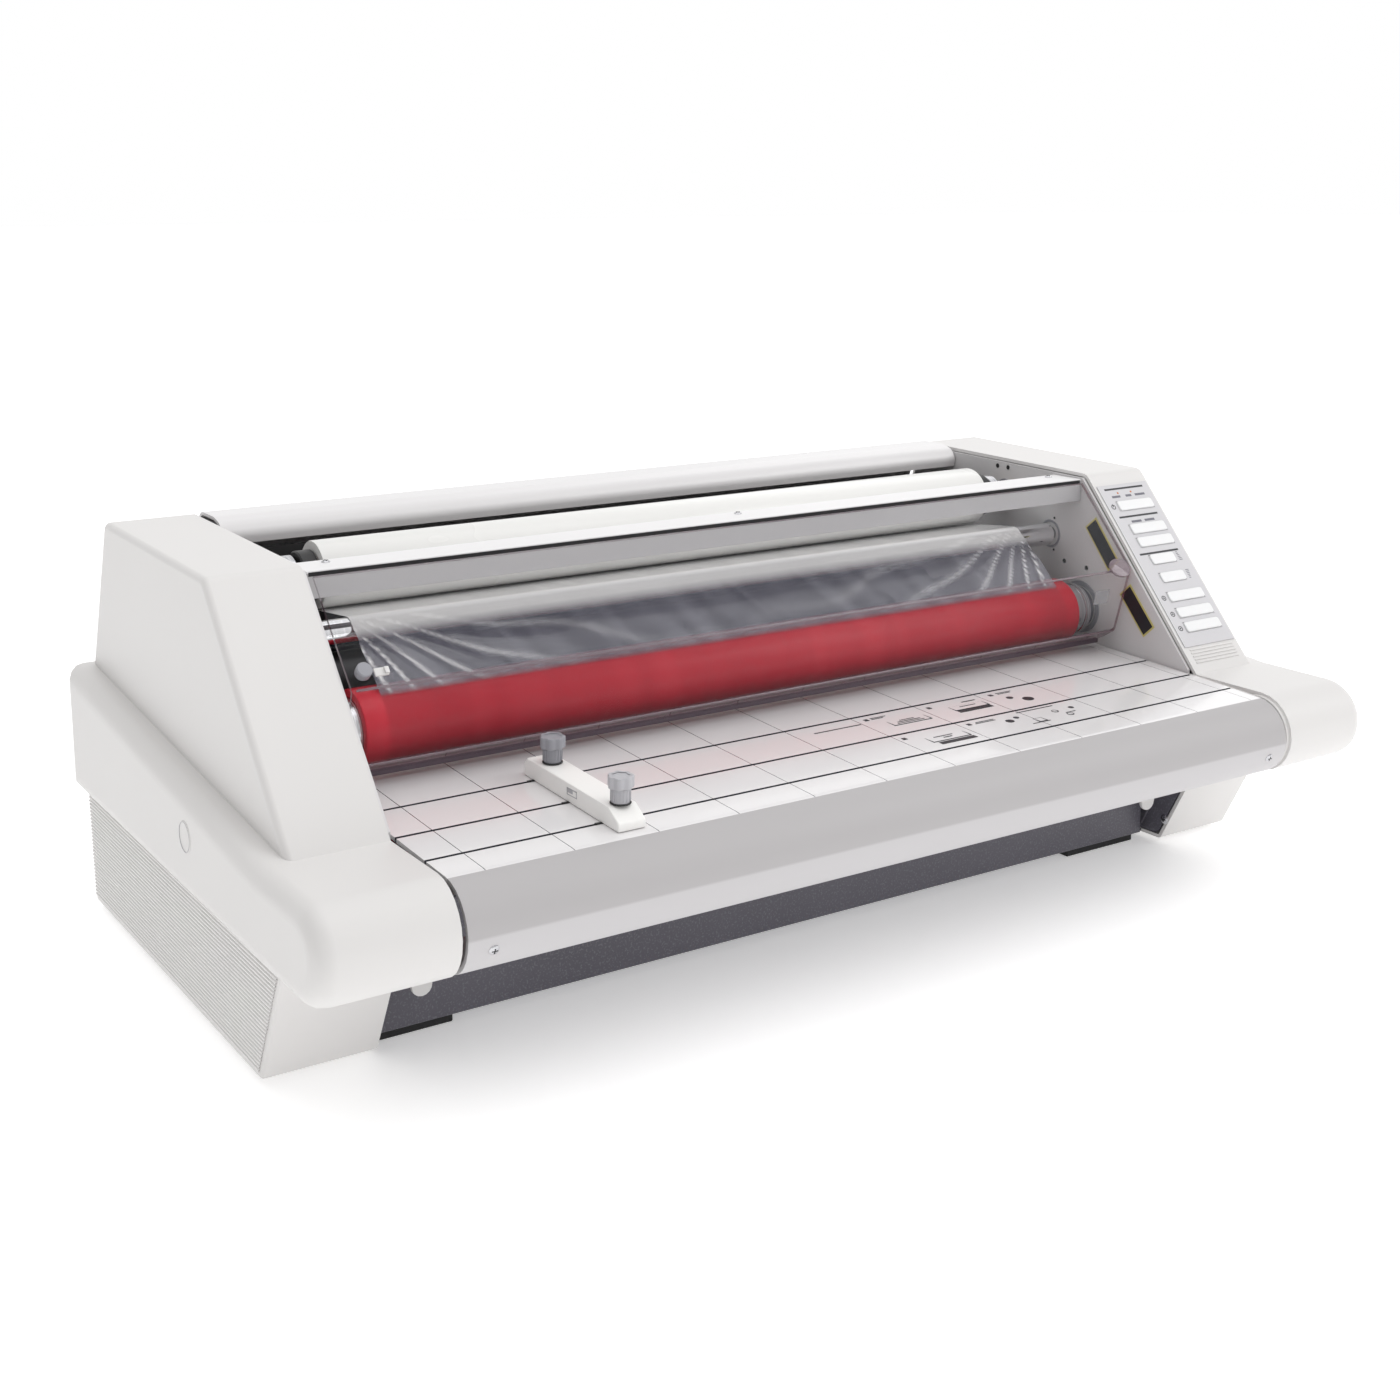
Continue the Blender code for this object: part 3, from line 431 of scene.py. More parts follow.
# The guide's white is lighter than the covers' white: painted light, for the light the glossy table
# throws on it.
GUIDE_LIT_WHITE = grained("guide_plastic_lit", (0.92, 0.91, 0.89), 0.40, grain=1500.0, height=0.02,
                      tone=0.012)
PALE = grained("pale_grey_paint", (0.74, 0.725, 0.73), 0.30, grain=700.0, height=0.008, tone=0.03,
               Coat_Weight=0.2, Coat_Roughness=0.12)
# The crossbar's front below its top is painted darker: painted shade.
CROSSBAR = dark_below_paint("bar_paint_painted_shade", (0.78, 0.77, 0.775), (0.43, 0.42, 0.43),
                          CROSSBAR_SHADE_LEVEL)
GREY = dark_below_paint("frame_paint", (0.68, 0.665, 0.67), (0.12, 0.115, 0.135), FRAME_SHADE_LEVEL)
TABLE = table_paint()
DARK = speckled("dark_speckled_paint", (0.105, 0.10, 0.122), (0.155, 0.15, 0.175), 0.36)
BLACK = grained("black_plastic", (0.012, 0.012, 0.013), 0.42, grain=1200.0, height=0.03, tone=0.2)
RUBBER = grained("black_rubber", (0.015, 0.015, 0.016), 0.75, grain=800.0, height=0.05, tone=0.2)
GREY_RUBBER = streaked("grey_rubber", (0.16, 0.16, 0.17), (0.22, 0.22, 0.23), 0.6, 25.0, 3.0)
RED = streaked("red_silicone", (0.53, 0.010, 0.028), (0.60, 0.018, 0.038), 0.30, 30.0, 2.0,
               height=0.003, spread=0.02, Specular_IOR_Level=0.28)
STEEL = streaked("turned_steel", (0.50, 0.50, 0.52), (0.66, 0.66, 0.68), 0.24, 900.0, 4.0,
                 height=0.004, Metallic=1.0)
CHROME = streaked("polished_rod", (0.74, 0.74, 0.76), (0.84, 0.84, 0.86), 0.08, 400.0, 4.0,
                  height=0.002, spread=0.03, Metallic=1.0)
BRASS = grained("brass", (0.62, 0.43, 0.16), 0.30, grain=900.0, height=0.01, tone=0.08,
                Metallic=1.0)
CLEAR = clear_sheet("clear_sheet", (0.62, 0.64, 0.67), 0.014, 0.45)
# The maroon of the shield's rims, fold lines and tab is painted reflection of the red roller in the
# clear plastic.
CLEAR_RIM_REFLECTION = clear_sheet("clear_sheet_rim_reflection", (0.20, 0.13, 0.16), 0.60, 0.3)
FROSTED = clear_sheet("frosted_patch", (0.45, 0.44, 0.46), 0.45, 0.4)
FOOT_STRIP = grained("foot_strip", (0.13, 0.095, 0.12), 0.30, grain=900.0, height=0.01, tone=0.1)
FILM = laminating_film()
WOUND = grained("wound_film", (0.82, 0.815, 0.795), 0.28, grain=300.0, height=0.002, tone=0.015,
                spread=0.05, patch=3.0, Coat_Weight=0.3, Coat_Roughness=0.1)
CARD = grained("card_tube", (0.42, 0.31, 0.19), 0.8, grain=700.0, height=0.06, tone=0.1)
LABEL = grained("panel_overlay", (0.60, 0.59, 0.61), 0.36, grain=1200.0, height=0.01, tone=0.02)
BUTTON = grained("button_plastic", (0.83, 0.83, 0.835), 0.40, grain=1200.0, height=0.02, tone=0.02)
KNOB = grained("knob_grey", (0.30, 0.30, 0.33), 0.38, grain=1200.0, height=0.02, tone=0.05)
PALE_KNOB = grained("knob_pale", (0.46, 0.455, 0.48), 0.38, grain=1200.0, height=0.02, tone=0.05)
PRINT = grained("printed_black", (0.02, 0.02, 0.025), 0.45, grain=900.0, height=0.004, tone=0.1)
GREY_PRINT = grained("printed_grey", (0.15, 0.15, 0.18), 0.45, grain=900.0, height=0.004, tone=0.1)
GREEN_BOARD = grained("solder_mask", (0.01, 0.16, 0.06), 0.35, grain=500.0, height=0.03, tone=0.1)
PLATE = grained("yellow_edging", (0.62, 0.55, 0.20), 0.40, grain=900.0, height=0.004, tone=0.06)
AMBER = grained("indicator", (0.55, 0.16, 0.03), 0.30, grain=500.0, height=0.004, tone=0.1)
STUDIO_FLOOR = grained("studio_floor", (0.95, 0.95, 0.95), 0.65, grain=60.0, height=0.01,
                       tone=0.004, Emission_Color=(1.0, 1.0, 1.0, 1.0), Emission_Strength=0.34)


# ---------------------------------------------------------------- shaping


def soften(shape, geometry, offset, segments=2, affect="EDGES", clamp=False):
    """Rounds the given edges or corners of a bmesh."""
    bmesh.ops.bevel(shape, geom=geometry, offset=offset, offset_type="OFFSET", segments=segments,
                    profile=0.5, affect=affect, material=-1, clamp_overlap=clamp)


def everything(shape):
    return shape.verts[:] + shape.edges[:] + shape.faces[:]


def level_edges(shape):
    return [edge for edge in shape.edges if abs(edge.verts[0].co.z - edge.verts[1].co.z) < 1e-6]


def shift_drawn(shape, drawn, shift):
    """Moves the corners that an extrusion has just made."""
    verts = [item for item in drawn["geom"] if isinstance(item, bmesh.types.BMVert)]
    bmesh.ops.translate(shape, verts=verts, vec=shift)


def draw_out(shape, shift):
    """Extrudes a flat outline by a shift, leaving both of its ends closed."""
    shift_drawn(shape, bmesh.ops.extrude_face_region(shape, geom=shape.faces[:]), shift)


def finish_piece(name, shape, material, body, replaces=(), sharp=32.0, weighted=False):
    """The bmesh as a finished object that rides on a body."""
    bmesh.ops.remove_doubles(shape, verts=shape.verts, dist=0.000002)
    bmesh.ops.recalc_face_normals(shape, faces=shape.faces)
    limit = math.radians(sharp)
    for face in shape.faces:
        face.smooth = True
    for edge in shape.edges:
        edge.smooth = len(edge.link_faces) == 2 and edge.calc_face_angle(0.0) < limit
    mesh = bpy.data.meshes.new(name)
    shape.to_mesh(mesh)
    shape.free()
    made = bpy.data.objects.new(name, mesh)
    bpy.context.scene.collection.objects.link(made)
    for item in material if isinstance(material, tuple) else (material,):
        mesh.materials.append(item)
    if weighted:
        step = made.modifiers.new("Weighted normals", "WEIGHTED_NORMAL")
        step.keep_sharp = True
        step.weight = 50
    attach(made, body)
    if replaces:
        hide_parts(*replaces)
    return made


BODY_OF = {node: body for body, nodes in frame["record"]["behaviour"]["bodies"].items()
           for node in nodes}


def smooth_copy(node, material, sharp=32.0, bevel=0.0, weighted=True):
    """A merged copy of a CAD node, shaded smoothly across its rounded edges."""
    shape = bmesh.new()
    shape.from_mesh(frame["nodes"][node].data)
    bmesh.ops.remove_doubles(shape, verts=shape.verts, dist=0.00001)
    bmesh.ops.dissolve_limit(
        shape, angle_limit=math.radians(0.5), verts=shape.verts, edges=shape.edges)
    if bevel:
        rims = [edge for edge in shape.edges
                if len(edge.link_faces) == 2 and edge.calc_face_angle(0.0) > math.radians(sharp)]
        soften(shape, rims, bevel, clamp=True)
    return finish_piece(f"{node}_shell", shape, material, BODY_OF[node], (node,),
                        sharp=sharp, weighted=weighted)


def repaint(node, material):
    """A better material on a CAD node that keeps its own mesh."""
    part = frame["nodes"][node]
    if not part.material_slots:
        part.data.materials.append(material)
    for holder in part.material_slots:
        holder.material = material


def spun(shape, profile, axis_point, axis=(1, 0, 0), steps=64, closed=False):
    """Adds to a bmesh a profile of (along, radius) points turned about an axis."""
    turn = Vector(axis).to_track_quat("Z", "Y").to_matrix()
    made = []
    for along, radius in profile:
        place = turn @ Vector((radius, 0.0, along)) + Vector(axis_point)
        made.append(shape.verts.new(place))
    ends = made[1:] + made[:1] if closed else made[1:]
    edges = [shape.edges.new(pair) for pair in zip(made, ends)]
    bmesh.ops.spin(shape, geom=made + edges, cent=axis_point, axis=turn @ Vector((0, 0, 1)),
                   angle=math.tau, steps=steps, use_merge=True, use_duplicate=False)
    bmesh.ops.remove_doubles(shape, verts=shape.verts, dist=0.000002)


def add_box(shape, low, high, place=None):
    size = Vector(high) - Vector(low)
    middle = (Vector(high) + Vector(low)) / 2
    matrix = Matrix.Translation(middle) @ Matrix.Diagonal((*size, 1.0))
    if place is not None:
        matrix = place @ matrix
    return bmesh.ops.create_cube(shape, size=1.0, matrix=matrix)["verts"]


def boxes_piece(name, boxes, material, body, place=None, rounding=0.0):
    """A piece made of plain boxes, with its edges rounded if a rounding is given."""
    shape = bmesh.new()
    for low, high in boxes:
        add_box(shape, low, high, place)
    if rounding:
        soften(shape, shape.edges[:], rounding)
    return finish_piece(name, shape, material, body)


def turned_piece(name, profile, place, material, body, replaces=(), axis=(1, 0, 0),
                 steps=64, closed=False):
    """A piece turned from a profile of (along, radius) points."""
    shape = bmesh.new()
    spun(shape, profile, place, axis, steps, closed)
    return finish_piece(name, shape, material, body, replaces)


def arc(centre, radius, start, end, count):
    points = []
    for i in range(count + 1):
        angle = math.radians(start + (end - start) * i / count)
        points.append((centre[0] + radius * math.cos(angle),
                       centre[1] + radius * math.sin(angle)))
    return points


def filleted(points, radius, count=6):
    """An open line with its inner corners cut to arcs."""
    line = [points[0]]
    for before, corner, after in zip(points, points[1:], points[2:]):
        corner = Vector(corner)
        back = Vector(before) - corner
        onward = Vector(after) - corner
        half = back.angle(onward) / 2
        reach = min(radius / math.tan(half), back.length * 0.45, onward.length * 0.45)
        size = reach * math.tan(half)
        back.normalize()
        onward.normalize()
        centre = corner + (back + onward).normalized() * (size / math.sin(half))
        first = corner + back * reach - centre
        last = corner + onward * reach - centre
        start = math.degrees(math.atan2(first.y, first.x))
        turn = (math.degrees(math.atan2(last.y, last.x)) - start + 180) % 360 - 180
        line += arc(centre, size, start, start + turn, count)
    line.append(points[-1])
    return line


def divided(line, longest):
    """The line with extra points, so that no part of it is longer than given."""
    made = [tuple(line[0])]
    for first, second in zip(line, line[1:]):
        first, second = Vector(first), Vector(second)
        count = max(1, math.ceil((second - first).length / longest))
        made += [tuple(first.lerp(second, (i + 1) / count)) for i in range(count)]
    return made


def bent_sheet(name, line, half_width, thickness, material, body, replaces=(), sharp=32.0,
               corner=0.0, columns=1, relief=None):
    """A sheet that follows a side-view line; corner rounds its far corners, relief lifts it."""
    lengths = [0.0]
    for first, second in zip(line, line[1:]):
        lengths.append(lengths[-1] + (Vector(second) - Vector(first)).length)
    shape = bmesh.new()
    bmesh.ops.create_grid(shape, x_segments=columns, y_segments=1, size=0.5)
    for vert in shape.verts:
        vert.co = Vector((vert.co.x * 2 * half_width, (vert.co.y + 0.5) * lengths[-1], 0.0))
    if corner:
        ends = [vert for vert in shape.verts
                if vert.co.y > lengths[-1] * 0.99 and abs(vert.co.x) > half_width * 0.99]
        soften(shape, ends, corner, segments=6, affect="VERTICES")
    for along in lengths[1:-1]:
        bmesh.ops.bisect_plane(shape, geom=everything(shape), plane_co=(0, along, 0),
                               plane_no=(0, 1, 0), dist=1e-6)
    # Each corner keeps the relief's painted highlight, which the film's material reads.
    fold_highlight = shape.verts.layers.float.new("fold_highlight") if relief else None
    for vert in shape.verts:
        along = min(max(vert.co.y, 0.0), lengths[-1])
        i = next(k for k in range(len(line) - 1) if along <= lengths[k + 1] + 1e-7)
        share = (along - lengths[i]) / (lengths[i + 1] - lengths[i])
        start, end = Vector(line[i]), Vector(line[i + 1])
        point = start.lerp(end, share)
        if relief:
            lift, vert[fold_highlight] = relief(vert.co.x, along)
            run = (end - start).normalized()
            point += Vector((-run.y, run.x)) * lift
        vert.co = Vector((vert.co.x, point.x, point.y))
    bmesh.ops.recalc_face_normals(shape, faces=shape.faces)
    made = finish_piece(name, shape, material, body, replaces, sharp=sharp)
    solid = made.modifiers.new("Thickness", "SOLIDIFY")
    solid.thickness = thickness
    solid.offset = 0.0
    solid.use_even_offset = True
    solid.material_offset_rim = len(made.data.materials) - 1
    return made


# ---------------------------------------------------------------- side covers

SLOPE_TOP = Vector((0.0, -0.0206, 0.310))
SLOPE_ANGLE = math.atan2(0.310 - 0.157, -0.0206 + 0.155)
SLOPE = Matrix.Translation(SLOPE_TOP) @ Matrix.Rotation(SLOPE_ANGLE, 4, "X")

SIDES = ((-1, "left"), (1, "right"))
BASE_HALF_WIDTH = 0.4445
BASE_FRONT = ((-0.1745, 0.105), (-0.122, 0.004))
BASE_REAR = ((0.2510, 0.110), (0.245, 0.004))
RIBS_FRONT_INSET = 0.0042
RIBS_REAR_INSET = -0.0036
RIB_HIGHEST = 0.0925
BADGE_PLACE = (0.4558, -0.029, 0.140)
BADGE_PROFILE = [(0.0, 0.0), (0.0, 0.0112), (0.0004, 0.0112), (0.0008, 0.0106),
                 (0.0005, 0.0100), (0.0005, 0.0)]
BADGE_RING_PROFILE = [(0.0005, 0.0101), (0.0009, 0.0101), (0.0009, 0.0104), (0.0005, 0.0104)]


def ribbed_side(side, label):
    """Fine level ribs over the outer side of a cover's base."""
    low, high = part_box("left_side_cover" if side < 0 else "right_side_cover")
    foot, crest, back = (BASE_HALF_WIDTH + offset for offset in (-0.0002, RIB_DEPTH, -0.0006))
    points = []
    level = RIB_START
    while level < RIB_HIGHEST:
        for x, share in ((foot, 0.0), (crest, 0.30), (crest, 0.62), (foot, 0.90)):
            points.append((x, level + RIB_PITCH * share))
        level += RIB_PITCH
    points = [(back, points[0][1] - 0.0002), *points, (back, points[-1][1] + 0.0002)]
    shape = bmesh.new()
    verts = [shape.verts.new((side * x, low.y, z)) for x, z in points]
    edges = [shape.edges.new(pair) for pair in zip(verts, verts[1:])]
    drawn = bmesh.ops.extrude_edge_only(shape, edges=edges)
    shift_drawn(shape, drawn, (0, high.y - low.y, 0))
    for (upper, lower), inset, way in ((BASE_FRONT, RIBS_FRONT_INSET, -1),
                                       (BASE_REAR, RIBS_REAR_INSET, 1)):
        along = Vector((0.0, upper[0] - lower[0], upper[1] - lower[1]))
        normal = along.cross(Vector((way, 0, 0)))
        normal *= math.copysign(1.0, normal.y * way)
        bmesh.ops.bisect_plane(
            shape, geom=everything(shape), plane_co=(0, lower[0] + inset, lower[1]),
            plane_no=normal, clear_outer=True)
    made = finish_piece(f"{label}_side_ribs", shape, RIBBED, "housing", sharp=50)
    solid = made.modifiers.new("Thickness", "SOLIDIFY")
    solid.thickness = 0.0004
    solid.offset = -1.0


def side_covers():
    for node in ("left_side_cover", "right_side_cover"):
        smooth_copy(node, WHITE, sharp=36)
    for side, label in SIDES:
        ribbed_side(side, label)
        place, out = (side * BADGE_PLACE[0], *BADGE_PLACE[1:]), (side, 0, 0)
        turned_piece(f"{label}_badge", BADGE_PROFILE, place, WHITE, "housing",
                     axis=out)
        turned_piece(f"{label}_badge_ring", BADGE_RING_PROFILE, place, PALE_KNOB, "housing",
                     axis=out, closed=True)


def slope_ribs():
    """Five short ribs at the foot of the right housing's slope."""
    ribs = [((0.372, -along - 0.0007, -0.001), (0.424, -along + 0.0007, 0.0007))
            for along in (0.1815 + 0.0030 * i for i in range(5))]
    boxes_piece("slope_ribs", ribs, WHITE, "housing", SLOPE, 0.0003)


# ---------------------------------------------------------------- control panel


def on_slope(name, boxes, material):
    return boxes_piece(name, boxes, material, "housing", SLOPE)


def ink(left, right, near, far):
    """The two corners of a thin printed mark on the control label."""
    return (left, near, LABEL_TOP), (right, far, LABEL_TOP + INK_DEPTH)


BUTTON_HALF_LENGTH = 0.00475
BUTTON_FOOT = -0.0042
BUTTON_TOP = 0.0022
LABEL_TOP = 0.0008
INK_DEPTH = 0.0001
SLOPE_OUT = SLOPE.to_3x3() @ Vector((0, 0, 1))
PANEL_BARS = (0.0190, 0.0480, 0.0865)
PANEL_LEGENDS = ((0.384, 0.0270, 0.010), (0.399, 0.0270, 0.007), (0.413, 0.0270, 0.012),
                 (0.392, 0.0535, 0.012), (0.408, 0.0535, 0.012))
PANEL_STROKE = (0.3745, 0.0369)
PANEL_DOTS = ((0.3745, 0.1306), (0.3745, 0.1466), (0.3745, 0.1608))
PANEL_LAMPS = ((0.3880, 0.0235), (0.4040, 0.0235))


def push_button(node):
    """A button with rounded corners, on a square skirt that fills its opening."""
    low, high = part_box(node)
    middle = (SLOPE.inverted() @ ((low + high) / 2)).to_2d()
    corner = Vector(((high.x - low.x) / 2, BUTTON_HALF_LENGTH))
    near, far = middle - corner, middle + corner
    shape = bmesh.new()
    add_box(shape, (*near, BUTTON_FOOT), (*far, BUTTON_TOP))
    soften(shape, [edge for edge in shape.edges if edge not in level_edges(shape)], 0.0022, 6)
    rims = [edge for edge in shape.edges
            if min(vert.co.z for vert in edge.verts) > BUTTON_TOP - 0.0001]
    soften(shape, rims, 0.0007, 3)
    bmesh.ops.transform(shape, matrix=SLOPE, verts=shape.verts)
    finish_piece(f"{node}_cap", shape, BUTTON, BODY_OF[node], (node,), sharp=60)
    boxes_piece(f"{node}_skirt", [((*near, BUTTON_FOOT + 0.0002), (*far, 0.0004))], LABEL,
                BODY_OF[node], SLOPE)


def panel_symbols():
    """Small printed rings beside the buttons, one with a stroke and the others with a dot."""
    shape = bmesh.new()
    for x, along in (*PANEL_DOTS, PANEL_STROKE):
        place = SLOPE @ Vector((x, -along, LABEL_TOP))
        ring = [(0.0, 0.0017), (0.0, 0.0024), (INK_DEPTH, 0.0024), (INK_DEPTH, 0.0017)]
        spun(shape, ring, place, SLOPE_OUT, steps=24, closed=True)
        if (x, along) == PANEL_STROKE:
            add_box(shape, (x - 0.0003, -along, LABEL_TOP),
                    (x + 0.0003, -along + 0.0030, LABEL_TOP + 2 * INK_DEPTH), SLOPE)
        else:
            dot = [(0.0, 0.0), (0.0, 0.0008), (INK_DEPTH, 0.0008), (INK_DEPTH, 0.0)]
            spun(shape, dot, place, SLOPE_OUT, steps=16)
    finish_piece("panel_symbols", shape, PRINT, "housing")


def control_panel():
    smooth_copy("control_label", LABEL)
    on_slope("panel_bars", [ink(0.3745, 0.4215, -along - 0.0009, -along + 0.0009)
                            for along in PANEL_BARS], PRINT)
    on_slope("panel_legends", [ink(x - width / 2, x + width / 2, -along - 0.0011, -along + 0.0011)
                               for x, along, width in PANEL_LEGENDS], GREY_PRINT)
    marks = []
    for along, rising in ((0.0931, 1), (0.1116, -1)):
        for i in range(6):
            reach = 0.0030 + rising * 0.0004 * (2.5 - i)
            level = -along - 0.0040 + 0.0016 * i
            marks.append(ink(0.4165, 0.4165 + reach, level, level + 0.0006))
    on_slope("panel_speed_marks", marks, GREY_PRINT)
    panel_symbols()
    shape = bmesh.new()
    for x, along in PANEL_LAMPS:
        spun(shape, [(0.0, 0.0), (0.0, 0.0010), (0.0003, 0.0008), (0.0004, 0.0)],
             SLOPE @ Vector((x, -along, LABEL_TOP)), SLOPE_OUT, steps=20)
    finish_piece("panel_lamps", shape, AMBER, "housing")
    for node in BODY_OF:
        if node.endswith("_button") and node != "reset_button" or node.startswith("gauge_button"):
            push_button(node)


# ---------------------------------------------------------------- rollers and film

FILM_HALF_WIDTH = 0.3175
FILM_THICKNESS = 0.0002
FILM_GAP = 0.0006
FILM_END = 0.236
FILM_STEP = 0.0032
HEAT_RADIUS = 0.0285
IDLER_RADIUS = 0.0100
SUPPLY_RADIUS = 0.0253
SHAFT_END = 0.3675
UPPER_HEAT_SHAFT_END = 0.3820
LOWER_HEAT_SHAFT_END = 0.3915
SLEEVE_PROFILE = [(0.0, HEAT_RADIUS), (0.3325, HEAT_RADIUS), (0.3336, 0.0279), (0.3340, 0.0270),
                  (0.3340, 0.0228)]
CORE_PROFILE = [(0.3300, 0.0225), (0.3450, 0.0225), (0.3455, 0.0215), (0.3475, 0.0215),
                (0.3480, 0.0225), (0.3525, 0.0225), (0.3530, 0.0190), (0.3600, 0.0185),
                (0.3600, 0.0100)]
IDLER_PROFILE = [(0.3570, IDLER_RADIUS), (0.3578, 0.0092), (0.3580, 0.0060), (0.3670, 0.0060),
                 (SHAFT_END, 0.0058), (SHAFT_END, 0.0)]
WOUND_PROFILE = [(0.0, SUPPLY_RADIUS), (0.3168, SUPPLY_RADIUS), (FILM_HALF_WIDTH, 0.0249),
                 (FILM_HALF_WIDTH, 0.0158)]
TUBE_PROFILE = [(0.3178, 0.0162), (0.3178, 0.0138)]
GRIP_PROFILE = [(0.3100, 0.0130), (0.3182, 0.0130), (0.3182, 0.0176), (0.3190, 0.0190),
                (0.3300, 0.0190), (0.3310, 0.0180), (0.3310, 0.0120), (0.3340, 0.0110)]
COLLAR_PROFILE = [(0.3335, 0.0), (0.3335, 0.0150), (0.3345, 0.0165), (0.3425, 0.0165),
                  (0.3430, 0.0158), (0.3430, 0.0080), (0.3480, 0.0072), (0.3600, 0.0072),
                  (0.3602, 0.0060), (0.3672, 0.0060), (SHAFT_END, 0.0056), (SHAFT_END, 0.0)]
SPRING_START = 0.3450
SPRING_LENGTH = 0.0120
SPRING_RADIUS = 0.0084
SPRING_WIRE_RADIUS = 0.0007
SPRING_TURNS = 4
SPRING_STEPS = 22


def axis_of(node):
    """The (y, z) place of a roller's axis."""
    low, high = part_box(node)
    return ((low.y + high.y) / 2, (low.z + high.z) / 2)


UPPER_HEAT = axis_of("upper_heat_sleeve")
LOWER_HEAT = axis_of("lower_heat_sleeve")
UPPER_IDLER = axis_of("upper_idler_bar")
LOWER_IDLER = axis_of("lower_idler_bar")
UPPER_SUPPLY = axis_of("upper_film_roll")
LOWER_SUPPLY = axis_of("lower_film_roll")


def both_ends(profile, left_profile=None):
    """A profile given for the +X half, with the mirror image of a left one before it."""
    mirrored = [(-along, radius) for along, radius in reversed(left_profile or profile)]
    return mirrored + profile


def heated_roller(position, centre, shaft_end):
    turned_piece(f"{position}_roller_sleeve", both_ends(SLEEVE_PROFILE), (0.0, *centre), RED,
                 f"{position}_heat", (f"{position}_heat_sleeve",), steps=96)
    left, right = (CORE_PROFILE + [(end, 0.0100), (end, 0.0)] for end in (SHAFT_END, shaft_end))
    turned_piece(f"{position}_roller_core", both_ends(right, left), (0.0, *centre), STEEL,
                 f"{position}_heat", (f"{position}_heat_core",), steps=72)


def idler(position, centre):
    turned_piece(f"{position}_idler_rod", both_ends(IDLER_PROFILE), (0.0, *centre), CHROME,
                 f"{position}_idler", (f"{position}_idler_bar",), steps=48)


def mandrel_spring(name, side, centre, body):
    """A coil of brass wire round a mandrel's end."""
    last = SPRING_TURNS * SPRING_STEPS
    curve = bpy.data.curves.new("wire", "CURVE")
    curve.dimensions = "3D"
    line = curve.splines.new("POLY")
    line.points.add(last)
    for i, point in enumerate(line.points):
        angle = math.tau * i / SPRING_STEPS
        point.co = (side * (SPRING_START + SPRING_LENGTH * i / last),
                    centre[0] + SPRING_RADIUS * math.cos(angle),
                    centre[1] + SPRING_RADIUS * math.sin(angle), 1.0)
    curve.bevel_depth = SPRING_WIRE_RADIUS
    curve.bevel_resolution = 2
    curve.use_fill_caps = True
    drawn = bpy.data.objects.new("wire", curve)
    bpy.context.scene.collection.objects.link(drawn)
    bpy.context.view_layer.update()
    graph = bpy.context.evaluated_depsgraph_get()
    shape = bmesh.new()
    shape.from_mesh(bpy.data.meshes.new_from_object(drawn.evaluated_get(graph)))
    bpy.data.objects.remove(drawn)
    finish_piece(name, shape, BRASS, body, sharp=70)


def supply_roll(position, centre):
    body = f"{position}_supply"
    place = (0.0, *centre)
    turned_piece(f"{position}_wound_film", both_ends(WOUND_PROFILE), place, WOUND, body,
                 (f"{position}_film_roll",), steps=96)
    turned_piece(f"{position}_card_tube", both_ends(TUBE_PROFILE), place, CARD, body,
                 closed=True, steps=48)
    turned_piece(f"{position}_mandrel_grips", both_ends(GRIP_PROFILE), place, BLACK, body,
                 (f"{position}_mandrel",), steps=48)
    for side, label in SIDES:
        collar = [(side * along, radius) for along, radius in COLLAR_PROFILE]
        turned_piece(f"{position}_mandrel_collar_{label}", collar, place, STEEL, body,
                     steps=48)
        mandrel_spring(f"{position}_mandrel_spring_{label}", side, centre, body)


def tangent(first, second):
    """Where a film leaves one roller and meets the next; side 1 has its centre on the left."""
    between = Vector(second[0]) - Vector(first[0])
    along = between.normalized()
    across = Vector((-along.y, along.x))
    lean = (second[2] * second[1] - first[2] * first[1]) / between.length
    normal = along * lean + across * math.sqrt(1 - lean * lean)
    leave = Vector(first[0]) - normal * (first[2] * first[1])
    return leave, Vector(second[0]) - normal * (second[2] * second[1])


def wrapped(circle, start, end):
    """The arc of a film round one roller."""
    centre, radius, side = circle
    first = math.degrees(math.atan2(start[1] - centre[1], start[0] - centre[0]))
    last = math.degrees(math.atan2(end[1] - centre[1], end[0] - centre[0]))
    turn = ((last - first) * side) % 360 * side
    return arc(centre, radius, first, first + turn, max(1, round(abs(turn) / 6.0)))


def film_line(circles):
    """A film's side view, from its supply roll over each roller and out level to the rear."""
    leave, meet = tangent(circles[0], circles[1])
    line = [tuple(leave)]
    for here, beyond in zip(circles[1:], circles[2:]):
        leave, next_meet = tangent(here, beyond)
        line += wrapped(here, meet, leave)
        meet = next_meet
    centre, radius, side = circles[-1]
    last = (centre[0], centre[1] - side * radius)
    line += wrapped(circles[-1], meet, last)
    line.append((FILM_END, last[1]))
    return line


